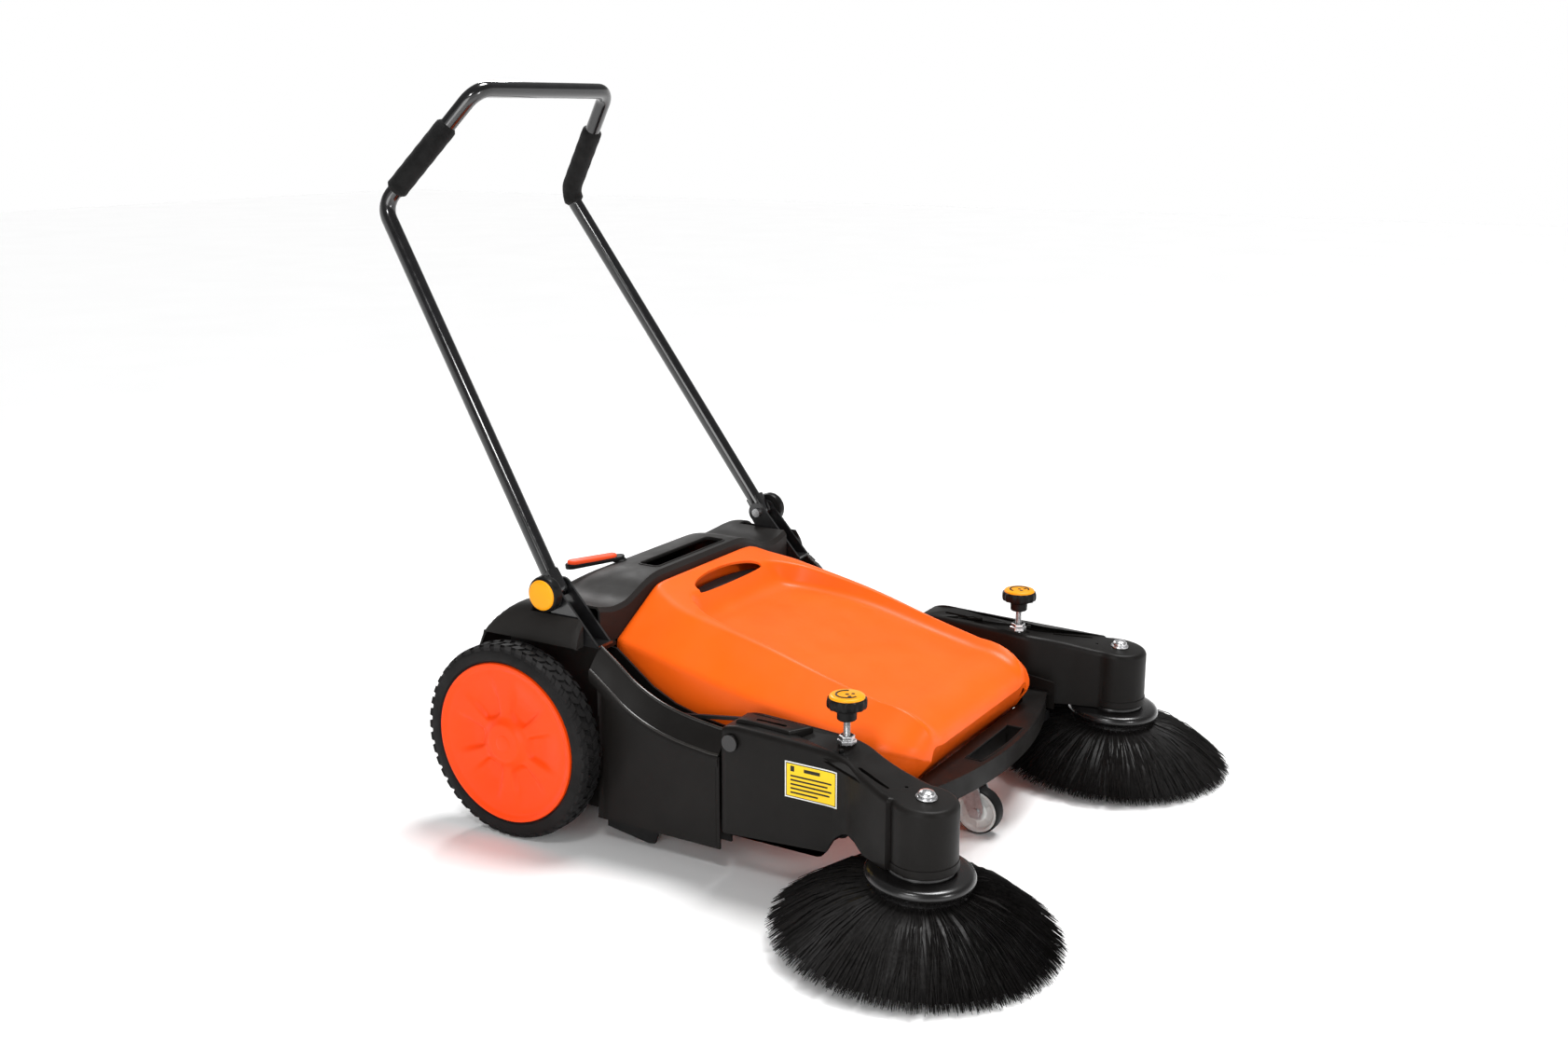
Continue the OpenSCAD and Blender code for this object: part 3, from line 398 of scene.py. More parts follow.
def cap(ring):
    """A flat closed face over a ring of points."""
    return ring, [tuple(range(len(ring)))]


def turn(profile, centre, axis="x", steps=64, lobes=0, lobe=0.0, phase=0.0, lobe_rows=()):
    """A lathed shape: profile points are (radius, distance along the axis)."""
    rows = []
    for k, (r, h) in enumerate(profile):
        row = []
        for i in range(steps):
            a = 2 * pi * i / steps + phase
            rr = r
            if lobes and (not lobe_rows or k in lobe_rows):
                rr = r + lobe * cos(lobes * a)
            u, v = rr * cos(a), rr * sin(a)
            p = {"x": (h, u, v), "y": (v, h, u), "z": (u, v, h)}[axis]
            row.append((centre[0] + p[0], centre[1] + p[1], centre[2] + p[2]))
        rows.append(row)
    verts, faces = grid(rows, close_v=True)
    return verts, [tuple(reversed(f)) for f in faces]


def moved(shape, matrix):
    verts, faces = shape
    return [tuple(matrix @ Vector(v)) for v in verts], faces


def tube_along(path, radius, steps=20, closed=False, caps=True):
    """A round tube along a list of points; radius is a number or a function of the path's fraction."""
    pts = [Vector(p) for p in path]
    n = len(pts)
    rows = []
    normal = None
    for i, p in enumerate(pts):
        before = pts[i - 1] if i or closed else p
        after = pts[(i + 1) % n] if i < n - 1 or closed else p
        d = (after - before).normalized()
        if normal is None:
            normal = d.orthogonal().normalized()
        normal = (normal - d * normal.dot(d)).normalized()
        side = d.cross(normal)
        r = radius(i / (n - 1)) if callable(radius) else radius
        rows.append([
            tuple(p + (normal * cos(a) + side * sin(a)) * r)
            for a in (2 * pi * k / steps for k in range(steps))
        ])
    shape = grid(rows, close_u=closed, close_v=True)
    if caps and not closed:
        shape = join(shape, cap(list(reversed(rows[0]))), cap(rows[-1]))
    return shape


def rounded_path(corners, radius, steps=10):
    """A polyline with its inner corners rounded."""
    out = [Vector(corners[0])]
    for i in range(1, len(corners) - 1):
        p = Vector(corners[i])
        a = (Vector(corners[i - 1]) - p).normalized()
        b = (Vector(corners[i + 1]) - p).normalized()
        half = a.angle(b) / 2
        reach = radius / tan(half)
        centre = p + (a + b).normalized() * (radius / sin(half))
        start, end = p + a * reach - centre, p + b * reach - centre
        for k in range(steps + 1):
            out.append(centre + start.slerp(end, k / steps) * radius)
    out.append(Vector(corners[-1]))
    return out


def box(low, high):
    x0, y0, z0 = low
    x1, y1, z1 = high
    verts = [(x, y, z) for x in (x0, x1) for y in (y0, y1) for z in (z0, z1)]
    return verts, [(0, 1, 3, 2), (4, 6, 7, 5), (0, 4, 5, 1), (2, 3, 7, 6), (0, 2, 6, 4), (1, 5, 7, 3)]


def fix_normals(obj):
    bm = bmesh.new()
    bm.from_mesh(obj.data)
    bmesh.ops.recalc_face_normals(bm, faces=bm.faces)
    bm.to_mesh(obj.data)
    bm.free()
    return obj


# ---- camera, floor and light

SKY_TOP = 0.2
SUN_POWER, SUN_ANGLE, SUN_SPOT = 2.8, 24, (900, -500, 3000)
LAMPS = [
    ("key", (-1900, -900, 2300), 0.4, 16), ("front", (-500, -3000, 1300), 0.4, 14),
    ("rim", (1500, 1600, 1900), 0.4, 20), ("fill", (-2600, -900, 900), 1.4, 20),
]


def studio():
    cam = bpy.data.cameras.new("camera")
    cam.sensor_width = 36
    cam.lens = 38.01
    cam.shift_y = -0.0047
    cam.clip_end = 60
    obj = in_scene("camera", cam)
    obj.location = at(-2142.65, -1537.48, 1061.84)
    look = Vector((0.8330, 0.4992, -0.2384))
    obj.rotation_mode = "QUATERNION"
    obj.rotation_quaternion = look.to_track_quat("-Z", "Y")
    bpy.context.scene.camera = obj

    bpy.ops.mesh.primitive_plane_add(size=30, location=(0, 0, 0))
    floor = bpy.context.object
    floor.name = "floor"
    n = Nodes("studio_floor", (0.9, 0.9, 0.9), 0.65)
    n.color_by(n.noise(2, 2), (0.95, 0.95, 0.95), (0.97, 0.97, 0.97))
    floor.data.materials.append(n.mat)

    # a white band at the horizon, with a darker sky above it so that black parts stay black
    world = bpy.data.worlds.new("studio")
    bpy.context.scene.world = world
    world.use_nodes = True
    tree = world.node_tree
    background = tree.nodes["Background"]
    direction = tree.nodes.new("ShaderNodeTexCoord").outputs["Generated"]
    split = tree.nodes.new("ShaderNodeSeparateXYZ")
    tree.links.new(direction, split.inputs["Vector"])
    sky = tree.nodes.new("ShaderNodeMapRange")
    sky.interpolation_type = "SMOOTHSTEP"
    for socket, value in (("From Min", 0.1), ("From Max", 0.35), ("To Min", 1.0), ("To Max", SKY_TOP)):
        sky.inputs[socket].default_value = value
    tree.links.new(split.outputs["Z"], sky.inputs["Value"])
    tree.links.new(sky.outputs["Result"], background.inputs["Strength"])
    background.inputs["Color"].default_value = (1, 1, 1, 1)
    aim = at(-100, -250, 200)
    sun = bpy.data.lights.new("sun", "SUN")
    sun.energy = SUN_POWER
    sun.angle = radians(SUN_ANGLE)
    lamps = [(sun, at(*SUN_SPOT))]
    for name, spot, size, power in LAMPS:
        light = bpy.data.lights.new(name, "AREA")
        light.size = size
        light.energy = power
        lamps.append((light, at(*spot)))
    for light, spot in lamps:
        lamp = in_scene(light.name, light)
        lamp.location = spot
        lamp.rotation_mode = "QUATERNION"
        lamp.rotation_quaternion = (aim - spot).to_track_quat("-Z", "Y")
    bpy.context.scene.view_settings.view_transform = "Standard"


# ---- hopper

# Ways along the hopper's top, from its rear edge forwards, as (distance in front of the axle, value)
TOP_Z = [(96, 343), (102, 349), (110, 351), (128, 344), (186, 329), (323, 298), (442, 264), (568, 233)]
TRAY_DROP = [(96, 0), (151, 0), (155, 2), (162, 13), (170, 25), (179, 31), (195, 33), (240, 28), (320, 20),
             (440, 15), (560, 12)]
TRAY_HALF = [(96, 98), (151, 102), (162, 111), (179, 124), (205, 138), (260, 148), (400, 156), (560, 158)]
RIDGE_HALF = [(96, 128), (128, 150), (186, 170), (560, 173)]
CREASE_HALF = [(96, 231), (110, 237), (330, 240), (474, 230), (560, 220)]
CREASE_Z = [(96, 283), (108, 286), (300, 249), (474, 215), (560, 199)]
SIDE_HALF = [(96, 246), (250, 250), (360, 250), (500, 240), (560, 230)]
HOPPER_REAR, HOPPER_NOSE, HOPPER_FRONT = 96.5, 518, 597.5
HOPPER_FLOOR, HOPPER_WAIST = 64, 188


def rounded(points, radii, steps=6):
    """An open outline with its inner corners rounded; each corner gives steps + 1 points."""
    out = [tuple(points[0])]
    for i in range(1, len(points) - 1):
        p = Vector(points[i])
        a, b = Vector(points[i - 1]) - p, Vector(points[i + 1]) - p
        reach = min(radii[i - 1], a.length * 0.48, b.length * 0.48)
        start, end = p + a.normalized() * reach, p + b.normalized() * reach
        for k in range(steps + 1):
            t = k / steps
            q = start * (1 - t) ** 2 + p * 2 * t * (1 - t) + end * t * t
            out.append(tuple(q))
    out.append(tuple(points[-1]))
    return out


def both_halves(half):
    """A closed ring from half an outline that runs from the middle of the top to that of the bottom."""
    return half + [(-x, z) for x, z in reversed(half[1:-1])]


def hopper_section(reach, inset):
    top = along(TOP_Z, reach)
    tray = top - along(TRAY_DROP, reach)
    edge = along(TRAY_HALF, reach)
    ridge = along(RIDGE_HALF, reach)
    side = along(SIDE_HALF, reach)
    return rounded([
        (0, tray - inset), (edge - 4 + inset, tray - inset), (edge + 13, top - inset),
        (ridge - inset / 2, top - 1.5 - inset),
        (along(CREASE_HALF, reach) - inset, along(CREASE_Z, reach) - inset / 2),
        (side - inset, HOPPER_WAIST), (side - 9 - inset, HOPPER_FLOOR + inset), (0, HOPPER_FLOOR + inset),
    ], [13, 6, 10, 10, 30, 10])


def hopper_nose(inset):
    return rounded([
        (0, 186 - inset), (138, 186 - inset), (152, 190 - inset), (164, 189 - inset), (170, 178 - inset),
        (174 - inset, 158), (188 - inset, HOPPER_FLOOR + inset), (0, HOPPER_FLOOR + inset),
    ], [13, 6, 10, 14, 30, 10])


def hopper_form(inset):
    """Closed skin of the hopper: sections from the rear edge to the nose, then the rounded nose."""
    rear, nose = HOPPER_REAR + inset, HOPPER_FRONT - inset
    stations = [96, 99, 103, 108, 114, 121, 129, 137, 144, 149, 154, 159, 164, 170, 177, 185, 194, 205, 220]
    stations += [235 + 20 * k for k in range(15)]
    rows = []
    for reach in stations:
        lean = 1 - smooth((reach - HOPPER_REAR) / 200)
        ring = both_halves(hopper_section(max(reach, rear - 2), inset))
        rows.append([
            (x, -max(reach, rear) - lean * along([(64, 110), (242, 12), (284, 0)], z), z) for x, z in ring
        ])
    start = both_halves(hopper_section(HOPPER_NOSE, inset))
    end = both_halves(hopper_nose(inset))
    for k in range(1, 9):
        a = pi / 2 * k / 8
        row = []
        for (x0, z0), (x1, z1) in zip(start, end):
            front = nose - max(0, 172 - z1) * 0.7
            x, z = mix(x1, x0, cos(a)), mix(z1, z0, cos(a))
            row.append((x, -mix(HOPPER_NOSE, front, sin(a)), z))
        rows.append(row)
    return join(grid(rows, close_v=True), cap(rows[0]), cap(list(reversed(rows[-1]))))


def prism(outline, low, high):
    """A closed straight prism on a plan outline."""
    n = len(outline)
    verts = [(x, y, low) for x, y in outline] + [(x, y, high) for x, y in outline]
    faces = [(i, (i + 1) % n, n + (i + 1) % n, n + i) for i in range(n)]
    return verts, faces + [tuple(reversed(range(n))), tuple(range(n, 2 * n))]


def hopper():
    obj = solid("hopper_body", hopper_form(0), "hopper", "hopper_orange",
                replaces=("hopper_top", "hopper_bin"))
    cut(obj, hopper_form(4))
    slot = [(90 * cos(a), -156 + (32 if sin(a) > 0 else 2) * abs(sin(a)) ** 0.8 * (1, -1)[k > 24])
            for k, a in ((k, 2 * pi * k / 48) for k in range(48))]
    cut(obj, prism(slot, 255, 380))
    cut(obj, box((-190, -150, 205), (190, -122, 300)))
    cut(obj, box((-205, -225, 86), (205, -105, HOPPER_WAIST)))
    smooth_by_angle(obj, 38)
    bevel(obj, 1.2, 2, 50)
    # a thin black sheet just under the grab slot, not a part of the real hopper: painted shade that darkens the
    # view into the hopper through the slot
    slot_shade_sheet = prism([(x * 1.02, (y + 142) * 1.05 - 142) for x, y in slot], 324, 326)
    bevel(piece("hopper_slot_painted_shade", *slot_shade_sheet, "hopper", "moulded_black"), 0.4)


# ---- wheels

def tyre(side, name):
    half, r, x = 23, 150, -361
    wall = [(116, 15), (125, 20), (127, 22.5), (131, half), (139, half - 0.6), (143, 20), (146.2, 16),
            (147, 10)]
    profile = [(rr, x - dx) for rr, dx in wall] + [(rr, x + dx) for rr, dx in reversed(wall)]
    shape = turn(profile + [profile[0]], AXLE, "x", 96)
    blocks = []
    count = 46
    for i in range(count):
        for row, (x0, x1, skew) in enumerate(((-21, -13, 1), (-12, -1, -1), (1, 12, 1), (13, 21, -1))):
            a = 2 * pi * (i + 0.5 * (row % 2)) / count
            w = 0.048
            corners = []
            for h in (0, 1):
                for dx, da in ((x0, -w + skew * 0.022), (x1, -w - skew * 0.022),
                               (x1, w - skew * 0.022), (x0, w + skew * 0.022)):
                    outer = abs(dx) > 16
                    rr = (r - 0.2 - (3.0 if outer else 0)) if h else 142
                    shrink = 0.82 if h else 1.0
                    corners.append((x + dx, rr * cos(a + da * shrink), AXLE_Z + rr * sin(a + da * shrink)))
            blocks.append((corners, [(4, 5, 6, 7), (0, 1, 5, 4), (1, 2, 6, 5), (2, 3, 7, 6), (3, 0, 4, 7)]))
    ridge = turn([(r - 3.4, x - 12.6), (r - 1.4, x - 12.2), (r - 3.4, x - 11.8)], AXLE, "x", 96)
    obj = solid("tyre_" + name + "_rubber", join(shape, ridge, *blocks), "wheel_" + name, "tyre", side,
                ("tyre_" + name,))


def rim(side, name):
    """Dished disc with a round boss and six raised spokes that fade towards the rim."""
    rings, steps = 44, 144
    face = -386
    rows = []
    for i in range(rings + 1):
        r = 10 + (125 - 10) * i / rings
        row = []
        for k in range(steps):
            a = 2 * pi * k / steps
            dish = 4.2 * smooth((r - 30) / 12) - 1.5 * smooth((r - 60) / 50)
            boss = 2.2 * smooth((33 - r) / 5)
            ring = 1.6 * exp(-((r - 27) / 3.5) ** 2)
            petal = 0.5 - 0.5 * cos(6 * a)
            width = smooth((petal - 0.18) / 0.3)
            pocket = 6.5 * width * smooth((r - 37 - 7 * (1 - petal)) / 9) * (1 - smooth((r - 62) / 46))
            lip = 3.6 * smooth((r - 112) / 8) * (1 - smooth((r - 122) / 3))
            depth = dish - boss - ring + pocket - lip + 6 * smooth((r - 122) / 3)
            row.append((face + 2.5 + max(depth, -2.4), r * sin(a), AXLE_Z + r * cos(a)))
        rows.append(row)
    back = turn([(125, face + 8), (116, face + 12), (113, -340), (108, -340), (108, face + 20),
                 (30, face + 16), (24, -340), (10, -340), (10, face + 3)], AXLE, "x", steps)
    verts, faces = grid(rows, close_v=True)
    shape = join((verts, faces), back)
    obj = solid("rim_" + name + "_disc", shape, "wheel_" + name, "rim_orange", side, ("rim_" + name,), 50)
    hub = turn([(0.01, -386.6), (9, -386.6), (12.5, -386.1), (14, -385.4), (14, -382)], AXLE, "x", 48)
    solid("hub_cap_" + name, hub, "wheel_" + name, "rim_orange", side)


# ---- side brushes

def brush_space():
    return Matrix.Translation((ARM_END[0], ARM_END[1] + 4, 100)) @ Matrix.Rotation(radians(3.5), 4, "X")


def brush_hub(side, name):
    profile = [(12, 17.4), (40, 17.4), (44, 15.5), (45.5, 12.5), (46, 9.5), (63, 8.4), (68, 7.4), (71.5, 5),
               (73.4, 1.2), (73.6, -2.5), (72, -6), (69, -8), (66.5, -9), (66, -12), (66.3, -15.5),
               (68.2, -16.5), (68.4, -20), (66, -22.4), (40, -22.4), (38, -18), (20, -16), (12, -14)]
    shape = moved(turn(profile, (0, 0, 0), "z", 96), brush_space())
    obj = solid("brush_flange_" + name, shape, "side_brush_" + name, "moulded_black", side,
                ("brush_hub_" + name,), 40, MATS["hub_gloss"])


def brush_bristles(side, name, rng):
    """Bristles in tufts: each strand is a thin three-sided spike that bows outwards to the floor."""
    tufts, strands = 46, 74
    verts, faces = [], []
    space = brush_space()
    for t in range(tufts):
        base_angle = 2 * pi * t / tufts
        for s in range(strands):
            ring = s % 3
            tuft = base_angle + (0.5 * pi / tufts * 2 if ring == 1 else 0)
            root = tuft + rng.gauss(0, 0.022)
            r0 = 50 + 6 * ring + rng.uniform(-2.5, 2.5)
            tip = tuft + rng.gauss(0, 0.062)
            reach = rng.uniform(0.0, 1.0)
            r2 = mix(168, 197.5, reach ** 0.6) - 4 * ring * (1 - reach) + rng.gauss(0, 1.2)
            r2 = min(r2, 198.2)
            z0 = -15 + rng.uniform(-3, 1)
            z2 = -86.6 + rng.uniform(0, 7) * (0.4 + 0.6 * reach)
            bulge = rng.uniform(0.86, 1.1)
            width = rng.uniform(0.75, 1.15)
            points = []
            for u in (0.0, 0.3, 0.58, 0.82, 1.0):
                r = mix(r0, r2, u)
                z = mix(z0, z2, u) + 15.5 * bulge * sin(pi * min(u * 1.03, 1)) * (0.55 + 0.45 * reach)
                a = mix(root, tip, smooth(u) * 0.6 + u * 0.4)
                points.append(Vector((r * cos(a), r * sin(a), z)))
            first = len(verts)
            for i, p in enumerate(points):
                d = (points[min(i + 1, 4)] - points[max(i - 1, 0)]).normalized()
                n = Vector((-p.y, p.x, 0)).normalized()
                b = d.cross(n)
                w = width * (1.0, 1.0, 0.95, 0.8, 0.35)[i]
                for c in range(3):
                    angle = 2 * pi * c / 3
                    verts.append(tuple(space @ (p + (n * cos(angle) + b * sin(angle)) * w)))
            for i in range(4):
                for c in range(3):
                    a0, a1 = first + 3 * i + c, first + 3 * i + (c + 1) % 3
                    faces.append((a0, a1, a1 + 3, a0 + 3))
            faces.append((first + 12, first + 13, first + 14))
    # dark core that closes the view between the tufts
    core = [(44, -16), (58, -15), (100, -24), (140, -44), (168, -66), (176, -82), (150, -82), (120, -60),
            (44, -24)]
    v, f = moved(turn(core, (0, 0, 0), "z", 72), space)
    piece("brush_core_" + name, v, f, "side_brush_" + name, "bristle", side)
    piece("bristles_" + name, verts, faces, "side_brush_" + name, "bristle", side,
          ("brush_bristles_" + name,), 80)


# ---- arms

ARM_TOP = [(351, 230), (359, 232.5), (372, 235.5), (386, 236), (500, 231), (545, 226.5), (600, 217),
           (650, 208.5), (700, 204), (740, 202)]
ARM_BOTTOM = [(300, 75), (511, 75), (518, 78), (524, 86), (531, 101), (538, 110), (548, 118), (558, 123),
              (572, 124), (582, 119), (596, 112), (760, 112)]


def arm_outline():
    """The arm from above, as closed (x, y) points: a straight box, a bent neck and a round end."""
    end = Vector(ARM_END)
    radius = 46
    outer = rounded([(-268, -352), (-340, -351), (-340, -548), (-370, -590), (-397, -642)], [12, 28, 26], 6)
    inner = rounded([(-312, -668), (-299, -606), (-268, -545), (-268, -352)], [30, 22], 6)
    start = (Vector(outer[-1]) - end).angle_signed(Vector((1, 0)))
    stop = (Vector(inner[0]) - end).angle_signed(Vector((1, 0)))
    arc = []
    if stop < start:
        stop += 2 * pi
    for k in range(0, 33):
        a = mix(start, stop, k / 32)
        arc.append((end.x + radius * cos(a), end.y + radius * sin(a)))
    return resampled(outer + arc + inner[1:], 7)


def resampled(points, step):
    """The same closed outline with no gap between points longer than step."""
    out = []
    n = len(points)
    for i in range(n):
        p, q = Vector(points[i]), Vector(points[(i + 1) % n])
        if (q - p).length < 0.05:
            continue
        count = max(1, ceil((q - p).length / step))
        out += [tuple(p.lerp(q, k / count)) for k in range(count)]
    return out


def inset_outline(points, by):
    """Each point moved inwards along its normal; by is a number or a function of the point."""
    n = len(points)
    area = sum(x0 * y1 - x1 * y0 for (x0, y0), (x1, y1) in zip(points, points[1:] + points[:1]))
    sign = 1 if area > 0 else -1
    out = []
    for i in range(n):
        p = Vector(points[i])
        d = (Vector(points[(i + 1) % n]) - Vector(points[i - 1])).normalized()
        out.append(tuple(p + Vector((-d.y, d.x)) * sign * by))
    return out


def slab(outline, bottom, top, radius, steps=6):
    """Closed block on a plan outline whose top edge is rounded; bottom and top are functions of (x, y)."""
    rows = [[(x, y, bottom(x, y)) for x, y in outline]]
    for k in range(steps + 1):
        a = pi / 2 * k / steps
        ring = inset_outline(outline, radius * (1 - cos(a)))
        rows.append([(x, y, top(x, y) - radius * (1 - sin(a))) for x, y in ring])
    return join(grid(rows, close_v=True), cap(rows[0]), cap(list(reversed(rows[-1]))))


def capsule(p, q, r, low, high, steps=10):
    """A slot-shaped prism between two plan points."""
    a, b = Vector(p), Vector(q)
    base = atan2(b.y - a.y, b.x - a.x)
    ring = [(b.x + r * cos(base + t), b.y + r * sin(base + t))
            for t in (-pi / 2 + pi * k / steps for k in range(steps + 1))]
    ring += [(a.x + r * cos(base + t), a.y + r * sin(base + t))
             for t in (pi / 2 + pi * k / steps for k in range(steps + 1))]
    return prism(ring, low, high)


def arm_top(x, y):
    return along(ARM_TOP, -y)


def arm_bottom(x, y):
    return along_straight(ARM_BOTTOM, -y)


def along_straight(points, t):
    for (t0, v0), (t1, v1) in zip(points, points[1:]):
        if t <= t1:
            return mix(v0, v1, max((t - t0) / (t1 - t0), 0))
    return points[-1][1]


def arm(side, name):
    outline = arm_outline()
    obj = solid("arm_shell_" + name, slab(outline, arm_bottom, arm_top, 8), "arm_" + name, "moulded_black",
                side, ("arm_housing_" + name,), 30)

    def carve(shape, mode="DIFFERENCE"):
        verts, faces = shape
        cut(obj, ([(-side * x, y, z) for x, y, z in verts], faces), mode)

    # raised pad at the rear of the top with its slot, the long groove on the neck and the collar at the end
    carve(slab(resampled([(-283, -366), (-318, -366), (-318, -452), (-283, -470)], 6),
               lambda x, y: 222, lambda x, y: arm_top(x, y) + 3.5, 4, 4), "UNION")
    carve(turn([(4, 24), (47, 24), (47.6, 14), (45, 12), (4, 12)], (*ARM_END, 100), "z", 64), "UNION")
    inner = inset_outline(outline, 4)
    carve(slab(inner, lambda x, y: arm_bottom(x, y) - 12, lambda x, y: arm_top(x, y) - 4, 4, 2))
    carve(capsule((-303, -394), (-303, -436), 3.4, 229, 260))
    carve(capsule((-340, -574), (-366, -628), 3.0, 209, 260))
    carve(turn([(0.01, -345), (13, -345), (13, -338.6), (10.5, -338.6), (10.5, -339.4), (0.01, -339.4)],
               ARM_PIVOT, "x", 40))
    carve(turn([(0.01, 60), (3, 60), (3, -6), (0.01, -6)], (-326, -524, 227.5), "z", 20))
    carve(turn([(0.01, 60), (2.6, 60), (2.6, -5), (0.01, -5)], (-346, -646, 208.5), "z", 20))
    smooth_by_angle(obj, 34)
    bevel(obj, 0.8, 2, 40)


def arm_fittings(side, name):
    """Pivot cap, washers and the ferrule that the height spindle passes through."""
    cap_shape = turn([(0.01, -341.4), (6, -341.3), (8.6, -340.6), (9.6, -339)], ARM_PIVOT, "x", 36)
    solid("pivot_cap_" + name, cap_shape, "arm_" + name, "knob_black", side)
    ferrule = turn([(9.8, 240), (10.6, 240), (11.6, 238.8), (11.6, 234.5), (13.6, 233.6), (14, 228),
                    (9.8, 228)], SPINDLE, "z", 6)
    bevel(piece("ferrule_" + name, *ferrule, "arm_" + name, "steel", side, shade_angle=20), 0.8)
    space = brush_space()
    head = turn([(0.01, 117.2), (5, 116.8), (9.4, 115.2), (11.2, 113.2), (11.6, 111), (11.6, 109),
                 (14, 108.8), (14.4, 107.2), (13, 106.6), (5.9, 106.6), (5.9, 22.6), (10, 22.6),
                 (10, 18), (0.01, 18)], (0, 0, 0), "z", 40)
    solid("brush_bolt_head_" + name, moved(head, space), "arm_" + name, "steel", side,
          ("brush_bolt_" + name,))
    small = turn([(0.01, 3.2), (2.6, 3), (3.8, 1.6), (3.8, -2), (0.01, -2)], (-321, -535, 226.5), "z", 24)
    solid("arm_screw_" + name, small, "arm_" + name, "knob_black", side)


def label():
    """Warning-sticker shape with plain bars; it follows the side of the arm round the start of its bend."""
    def wrap(s):
        y = -459 - s
        over = max(0.0, -y - 522)
        return y, -340.6 - over * over * 0.0066

    def patch(s0, s1, z0, z1, out, name, mat):
        rows = []
        for k in range(11):
            y, x = wrap(mix(s0, s1, k / 10))
            rows.append([(x - out, y, z0), (x - out, y, z1)])
        obj = piece(name, *grid(rows), "arm_right", "label_film", material=mat)
        return solidify(obj, 0.15, 0)

    base = patch(0, 82, 153, 205, 0.0, "label_plate", WHITE_FILM)
    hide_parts("label_right")
    patch(1.8, 80.2, 154.8, 203.2, 0.2, "label_frame", DARK_INK)
    patch(3.0, 79.0, 156, 202, 0.4, "label_field", MATS["label_film"])
    for i, (s0, s1, z0, z1) in enumerate((
        (30, 55, 193, 198), (9, 15, 191.5, 199.5), (9, 73, 184, 186.5), (9, 67, 178, 180.5),
        (9, 73, 172, 174.5), (9, 70, 166, 168.5), (9, 52, 160, 162.5),
    )):
        patch(s0, s1, z0, z1, 0.6, f"label_bar_{i}", DARK_INK)


# ---- rear cover and frame

COVER_SIDE = [(-90, 364.6), (-34, 364.6), (-22, 362.5), (0, 357), (20, 348.5), (42, 334), (62, 315),
              (78, 293), (90, 267), (98, 236), (103, 200), (104, 150), (104, 61)]
COVER_BACK = [(0, 364.8), (112, 364.6), (124, 362.5), (150, 353.5), (176, 343), (196, 336), (214, 333.6),
              (236, 334), (258, 339), (276, 343.4), (290, 343.4), (304, 338), (314, 328), (321, 316),
              (325, 303)]


def soft_min(a, b, k):
    h = max(k - abs(a - b), 0) / k
    return min(a, b) - h * h * k / 4


def cover_path():
    """Points (y, z) down the middle of the cover, close together, from its front edge to its rear foot."""
    pts = rounded([COVER_SIDE[0]] + COVER_SIDE[1:], [20] * 11, 3)
    out = []
    for p, q in zip(pts, pts[1:]):
        count = max(1, round((Vector(q) - Vector(p)).length / 7))
        out += [tuple(Vector(p).lerp(Vector(q), k / count)) for k in range(count)]
    return out + [pts[-1]]


def rear_cover():
    half = [x for x in range(0, 112, 14)] + [112 + 6 * k for k in range(35)] + [319, 322, 324, 325]
    xs = sorted({-x for x in half} | set(half))
    rows = []
    for y, z in cover_path():
        row = []
        for x in xs:
            top = along(COVER_BACK, abs(x))
            row.append((x, y, soft_min(z, top, 14) if z > 225 else z))
        # the outer lip hangs down to the wheels' guards
        lip = min(row[0][2], 297 if z > 297 else z)
        rows.append([(-325, y, lip)] + row + [(325, y, lip)])
    # the front edge turns down behind the hopper
    for drop in (5, 24, 60):
        rows.insert(0, [(x, -93.5, z - min(drop, max(z - 286, 0))) for x, y, z in rows[0]])
    obj = solid("rear_cover_shell", grid(rows), "chassis", "cover_grey", replaces=("rear_cover",),
                shade_angle=40)
    solidify(obj, 3.5, 1)
    settle(obj)
    for s in (-1, 1):
        cut(obj, box((min(s * 258.5, s * 340), -140, 20), (max(s * 258.5, s * 340), 44, 296)))
        cut(obj, box((min(s * 258.5, s * 340), -140, 20), (max(s * 258.5, s * 340), 130, 212)))
        cut(obj, box((min(s * 269.5, s * 310.5), -140, 200), (max(s * 269.5, s * 310.5), 0.5, 400)))
    cut(obj, slab(capsule_ring(98, -62, 18), lambda x, y: 340, lambda x, y: 380, 1, 2))
    cut(obj, turn([(0.01, 250), (8, 250), (8, 400), (0.01, 400)], LEVER_POST, "z", 32))
    smooth_by_angle(obj, 34)
    bevel(obj, 1.0, 2, 45)
    # rolled edge around the grab slot
    ring = [(x, y, 364.6) for x, y in capsule_ring(99, -62, 19)]
    solid("grab_slot_rim", tube_along(ring, 1.8, 10, closed=True), "chassis", "cover_grey")


def capsule_ring(half, y, r, steps=8):
    """A rounded rectangle in plan with its middle on the centre plane."""
    ring = []
    corner = 8
    for cx, cy, start in ((half - corner, y + r - corner, 0), (-half + corner, y + r - corner, 90),
                          (-half + corner, y - r + corner, 180), (half - corner, y - r + corner, 270)):
        for k in range(steps + 1):
            a = radians(start + 90 * k / steps)
            ring.append((cx + corner * cos(a), cy + corner * sin(a)))
    return ring


RIM_TOP = [(-120, 296), (-150, 274), (-185, 248), (-225, 229), (-270, 217), (-327, 209)]
RIM_END = 343


def rim_curve(drop):
    """The sloping rim of the side wall as (y, z), smoothed."""
    table = [(-y, z - drop) for y, z in RIM_TOP]
    return [(-t, along(table, t)) for t in (120 + (RIM_END - 120) * k / 28 for k in range(29))]


